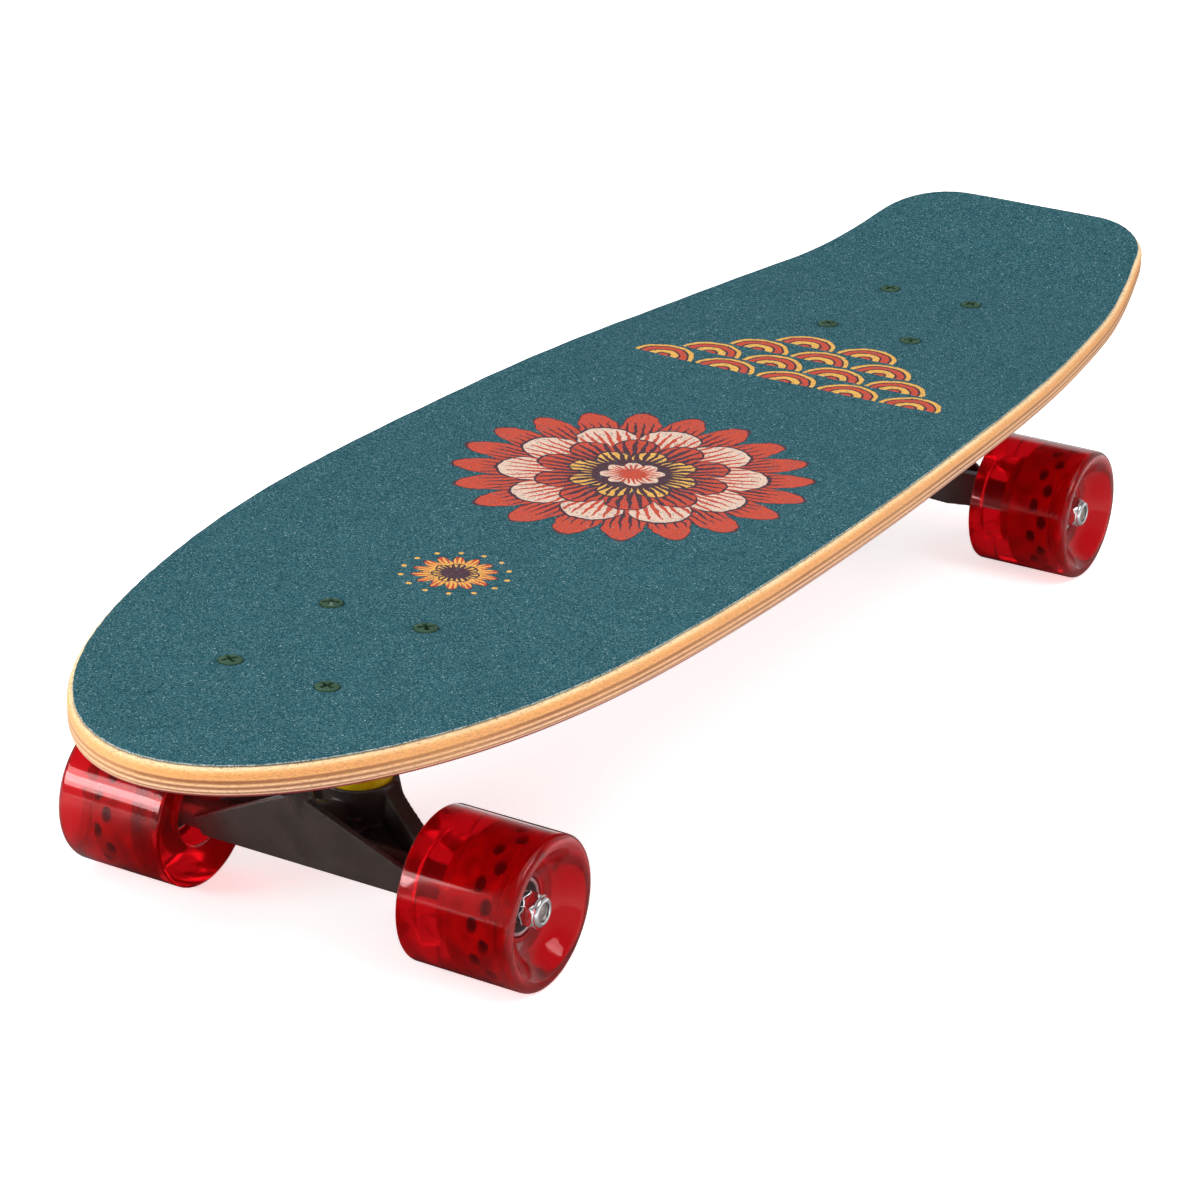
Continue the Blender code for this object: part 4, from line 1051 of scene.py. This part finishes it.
def makeCore(which, matrix):
    # A drum on a sleeve. Its outer face is pitted by two staggered columns of oval windows, where the radius
    # falls by depth * smoothstep((edge - oval distance) / slope).
    drum, low, high, (landRadius, land) = hub["drum"], hub["drumFrom"], hub["drumTo"], hub["land"]
    wall, bore, half, chamfer = hub["wall"], hub["bore"], hub["half"], hub["chamfer"]
    windowLong, windowWide, windowDepth = hub["window"]
    edge, slope = hub["slope"]
    outline = [(wall, half), (wall, high), (drum - chamfer, high)]
    outline += [(drum, s) for s in np.linspace(high - chamfer, low + chamfer, 46)]
    outline += [
        (drum - chamfer, low), (wall, low), (wall, -half), (bore, -half), (bore, -land), (landRadius, -land),
        (landRadius, land), (bore, land), (bore, half),
    ]

    def pitted(radius, height, angle):
        pit = np.zeros_like(radius)
        step = 2 * np.pi / hub["windows"]
        for column, place in enumerate(hub["columns"]):
            away = (angle + step * column / 2 + step / 2) % step - step / 2
            oval = np.sqrt((away * drum / windowLong) ** 2 + ((height - place) / windowWide) ** 2)
            pit = np.maximum(pit, smoothStep((edge - oval) / slope))
        return np.where(np.abs(radius - drum) < 1e-6, radius - windowDepth * pit, radius)

    def pitShadeShare(points):
        # The share of a window's depth, on the drum's face alone; the core's material paints shade into the
        # windows by it
        fallen = (drum - np.linalg.norm(points[..., :2], axis=-1)) / windowDepth
        face = (points[..., 2] < high - 0.5) & (points[..., 2] > low + 0.5)
        share = np.where(face, np.clip(fallen * 1.6, 0, 1), 0)
        return np.stack([share, np.zeros_like(share)], axis=-1)

    turnedPiece(
        f"windowed_core_{which}", outline, 216, True, f"wheel_{which}", "clear_red_core", f"core_{which}",
        matrix, pitted, mapAt=pitShadeShare,
    )


def makeBearing(which, name, matrix):
    # Outer and inner race with a chamfer, and two seals sunk between them.
    b = bearing
    half, inner, outer = b["half"], b["inner"], b["seal"]
    races, seals = [], []
    for low, high in ((b["bore"], inner), (outer, b["outer"])):
        races.append(ringProfile([(low, -half), (high, -half), (high, half), (low, half)], 0.35))
    for side in (1, -1):
        face, ridge = side * (half - b["sunk"]), (inner + outer) / 2
        dip, back = face - side * 0.2, face - side * 0.9
        seals.append([
            (inner - 0.1, face), (inner + 0.5, face), (inner + 0.7, dip), (ridge, dip), (ridge + 0.3, face),
            (outer + 0.1, face), (outer + 0.1, back), (inner - 0.1, back),
        ])
    for kind, rings, slot, node in (
        ("race", races, "bearing_steel", f"bearing_{which}_{name}"), ("seal", seals, "black_urethane", None),
    ):
        points = np.concatenate([turnedPoints(ring, 96).reshape(-1, 3) for ring in rings])
        quads = np.array(gridFaces(len(rings[0]), 96, closedRows=True, closedColumns=True))
        faces = np.concatenate([quads, quads + len(rings[0]) * 96]).tolist()
        makePiece(f"bearing_{kind}_{which}_{name}", points, faces, f"wheel_{which}", slot, node, matrix)


def makeAxle(end):
    # One turned bar with the sleeves between the bearings, the inner washers and threaded, chamfered ends.
    low, high = (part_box(f"axle_{end}")[k].y / mm for k in (0, 1))
    tip = (high - low) / 2 - axle["recessed"]
    inner, radius = wheel["track"] - axle["inner"], axle["radius"]
    threadFrom, threadTo = inner + axle["threadFrom"], tip - axle["chamfer"]
    side = [(radius, 0)]
    for wide, (near, far) in zip((axle["washer"], axle["bush"]), axle["collars"]):
        side += [(radius, inner + near), (wide, inner + near), (wide, inner + far), (radius, inner + far)]
    side += [
        (radius, threadTo), (radius - axle["chamfer"], tip), (radius - 1.2, tip), (radius - 1.35, tip - 0.2),
        (1.5, tip - 0.2), (1.35, tip - 0.1), (0.5, tip - 0.1), (0.35, tip - 0.3), (0, tip - 0.3),
    ]
    rows = fineRows(side, threadFrom, threadTo, 0.2)
    whole = np.vstack([rows[:0:-1] * np.array([1, -1]), rows[1:]])
    outward = threadRadius(threadFrom, threadTo, *axle["thread"], radius)
    inward = threadRadius(-threadTo, -threadFrom, *axle["thread"], radius)
    turnedPiece(
        f"turned_axle_{end}", whole, 64, False, f"hanger_{end}", "axle_steel", f"axle_{end}",
        axleFrame(end, 1), lambda *at: np.where(at[1] > 0, outward(*at), inward(*at)),
    )


def makeAxleNut(which, end, side):
    # From its washer face up: the hexagon, then a rounded collar that turns in over the bore.
    seat = wheel["track"] + axle["nut"]
    bore, flat, washer, collar = axle["radius"] + 0.15, axle["hex"] / 2, axle["washer"], axle["collar"]
    low = seat + 1.0
    top = low + axle["hexHeight"]
    profile = [
        (bore, seat), (washer - 0.2, seat), (washer, seat + 0.2), (washer, low - 0.05), (flat, low),
        (flat, low + 1), (flat, top - 1.6), (flat, top - 0.5),
    ]
    roll = [(0, -0.1), (0, 0.15), (0.2, 0.55), (0.6, 0.9), (1.1, 1.12), (1.6, 1.2), (2.05, 1.14), (2.3, 0.95)]
    profile += [(collar - turnedIn, top + up) for turnedIn, up in roll + [(2.3, 0.65)]] + [(bore, top + 0.5)]
    turnedPiece(
        f"plated_axle_nut_{which}", profile, 96, True, f"hanger_{end}", "zinc_steel", f"axle_nut_{which}",
        axleFrame(end, side), hexRadius(axle["hex"], low, top - 0.5),
    )


for end in ("front", "rear"):
    makeBolts(end)
    makeKingpin(end)
    makePivotCup(end)
    for details in castings:
        makeCasting(end, *details)
    makeAxle(end)
    for side in (1, -1):
        which = f"{end}_{handOf(end, side)}"
        middle = axleFrame(end, side) @ Matrix.Translation((0, 0, wheel["track"]))
        makeTyre(which, middle)
        makeCore(which, middle)
        for name, place in (("inner", -bearing["place"]), ("outer", bearing["place"])):
            makeBearing(which, name, middle @ Matrix.Translation((0, 0, place)))
        makeAxleNut(which, end, side)
    print("truck dressed:", end)


# Stage: pale floor, white surroundings, soft lamps

stage = {
    "floor": 7.0,
    "paper": "#F7F7F7",
    "lift": 0.6,
    "mirrored": (0.005, 0.035, 0.05, 1.0),  # y squared near the board and away, and the mirrored tone there: painted shade, dark near the board and white away from it
    "through": 0.9,  # share of the lift that shows through the clear tyres
    "world": 0.62,
    "walls": (0.34, 0.62, 0.5, 0.16),  # in mirrors, pale walls end between two heights in a dark ceiling
    "lampTarget": (0.15, 0.0, 0.06),
    "target": (0.15593, 0.05926, 0.107758),
    "azimuth": 119.63,
    "elevation": 22.48,
    "distance": 1.39553,
    "roll": 1.91,
    "lens": 113.13,
}
lamps = {  # azimuth from +X towards +Y and elevation, distance, width and height, power
    "Top softbox": ((66, 70), 1.6, (1.8, 1.4), 8.6),
    "Front strip high": ((-38.5, 22.5), 1.5, (0.6, 0.2), 2.4),
    "Front strip middle": ((-38.5, 15.5), 1.5, (0.6, 0.2), 6.5),
    "Front strip low": ((-38.5, 9.4), 1.5, (0.6, 0.12), 2.2),
    "Side softbox": ((85, 50), 1.6, (0.75, 0.6), 5.5),
    "Back fill": ((-140, 38), 2.0, (1.6, 0.8), 7),
}


def drawPaper(add):
    # Polished and clear surfaces mirror a floor dimmed near the board by painted shade, so that their own
    # colour stays deep
    path = add("LightPath").outputs
    aside = add("SeparateXYZ", add("TexCoord").outputs["Object"]).outputs["Y"]
    mirrored = add("MapRange", add("Math MULTIPLY", aside, aside), *stage["mirrored"])
    paper = add("BsdfDiffuse", add("Mix RGBA", path["Is Glossy Ray"], stage["paper"], mirrored))
    through = add("Math MULTIPLY", path["Is Transmission Ray"], stage["through"])
    seen = add("Math MAXIMUM", path["Is Camera Ray"], through)
    glow = add("Emission", (1, 1, 1, 1), add("Math MULTIPLY", seen, stage["lift"]))
    return add("AddShader", paper, glow)


def makeFloor():
    half = stage["floor"]
    mesh = bpy.data.meshes.new("floor")
    corners = [(-half, -half, 0), (half, -half, 0), (half, half, 0), (-half, half, 0)]
    mesh.from_pydata(corners, [], [(0, 1, 2, 3)])
    floor = addObject("studio_floor", mesh)
    mesh.materials.append(makeMaterial("White studio paper", drawPaper))


def makeWorld():
    world = bpy.data.worlds.new("Studio")
    bpy.context.scene.world = world
    add = emptyTree(world)
    path = add("LightPath").outputs
    seen = add("Math MAXIMUM", path["Is Camera Ray"], path["Is Transmission Ray"])
    direct = add("MapRange", {"Value": seen, "To Min": stage["world"], "To Max": 1.0})
    height = add("SeparateXYZ", add("TexCoord").outputs["Generated"]).outputs["Z"]
    walls = add("MapRange", height, *stage["walls"])
    add("OutputWorld", add("Background", (1, 1, 1, 1), add("Mix", path["Is Glossy Ray"], direct, walls)))


def makeLamp(name, direction, distance, size, power):
    azimuth, elevation = (math.radians(v) for v in direction)
    level = math.cos(elevation)
    away = Vector((math.cos(azimuth) * level, math.sin(azimuth) * level, math.sin(elevation)))
    lamp = bpy.data.lights.new(name, "AREA")
    lamp.shape = "RECTANGLE"
    lamp.size, lamp.size_y = size
    lamp.energy = power
    obj = addObject(name, lamp)
    obj.location = Vector(stage["lampTarget"]) + away * distance
    obj.rotation_euler = away.to_track_quat("Z", "Y").to_euler()


def makeCamera():
    azimuth, elevation, roll = (math.radians(stage[key]) for key in ("azimuth", "elevation", "roll"))
    level = math.cos(elevation)
    back = Vector((math.sin(azimuth) * level, -math.cos(azimuth) * level, math.sin(elevation)))
    right = (-back).cross(Vector((0, 0, 1))).normalized()
    down = (-back).cross(right)
    xAxis = math.cos(roll) * right - math.sin(roll) * down
    yAxis = -(math.sin(roll) * right + math.cos(roll) * down)
    camera = bpy.data.cameras.new("Camera")
    camera.lens = stage["lens"]
    camera.sensor_width = 36
    obj = addObject("Camera", camera)
    turn = Matrix((xAxis, yAxis, back)).transposed().to_4x4()
    obj.matrix_world = Matrix.Translation(Vector(stage["target"]) + back * stage["distance"]) @ turn
    bpy.context.scene.camera = obj


makeFloor()
makeWorld()
for name, settings in lamps.items():
    makeLamp(name, *settings)
makeCamera()
bpy.context.scene.view_settings.view_transform = "Standard"

print("stage set")
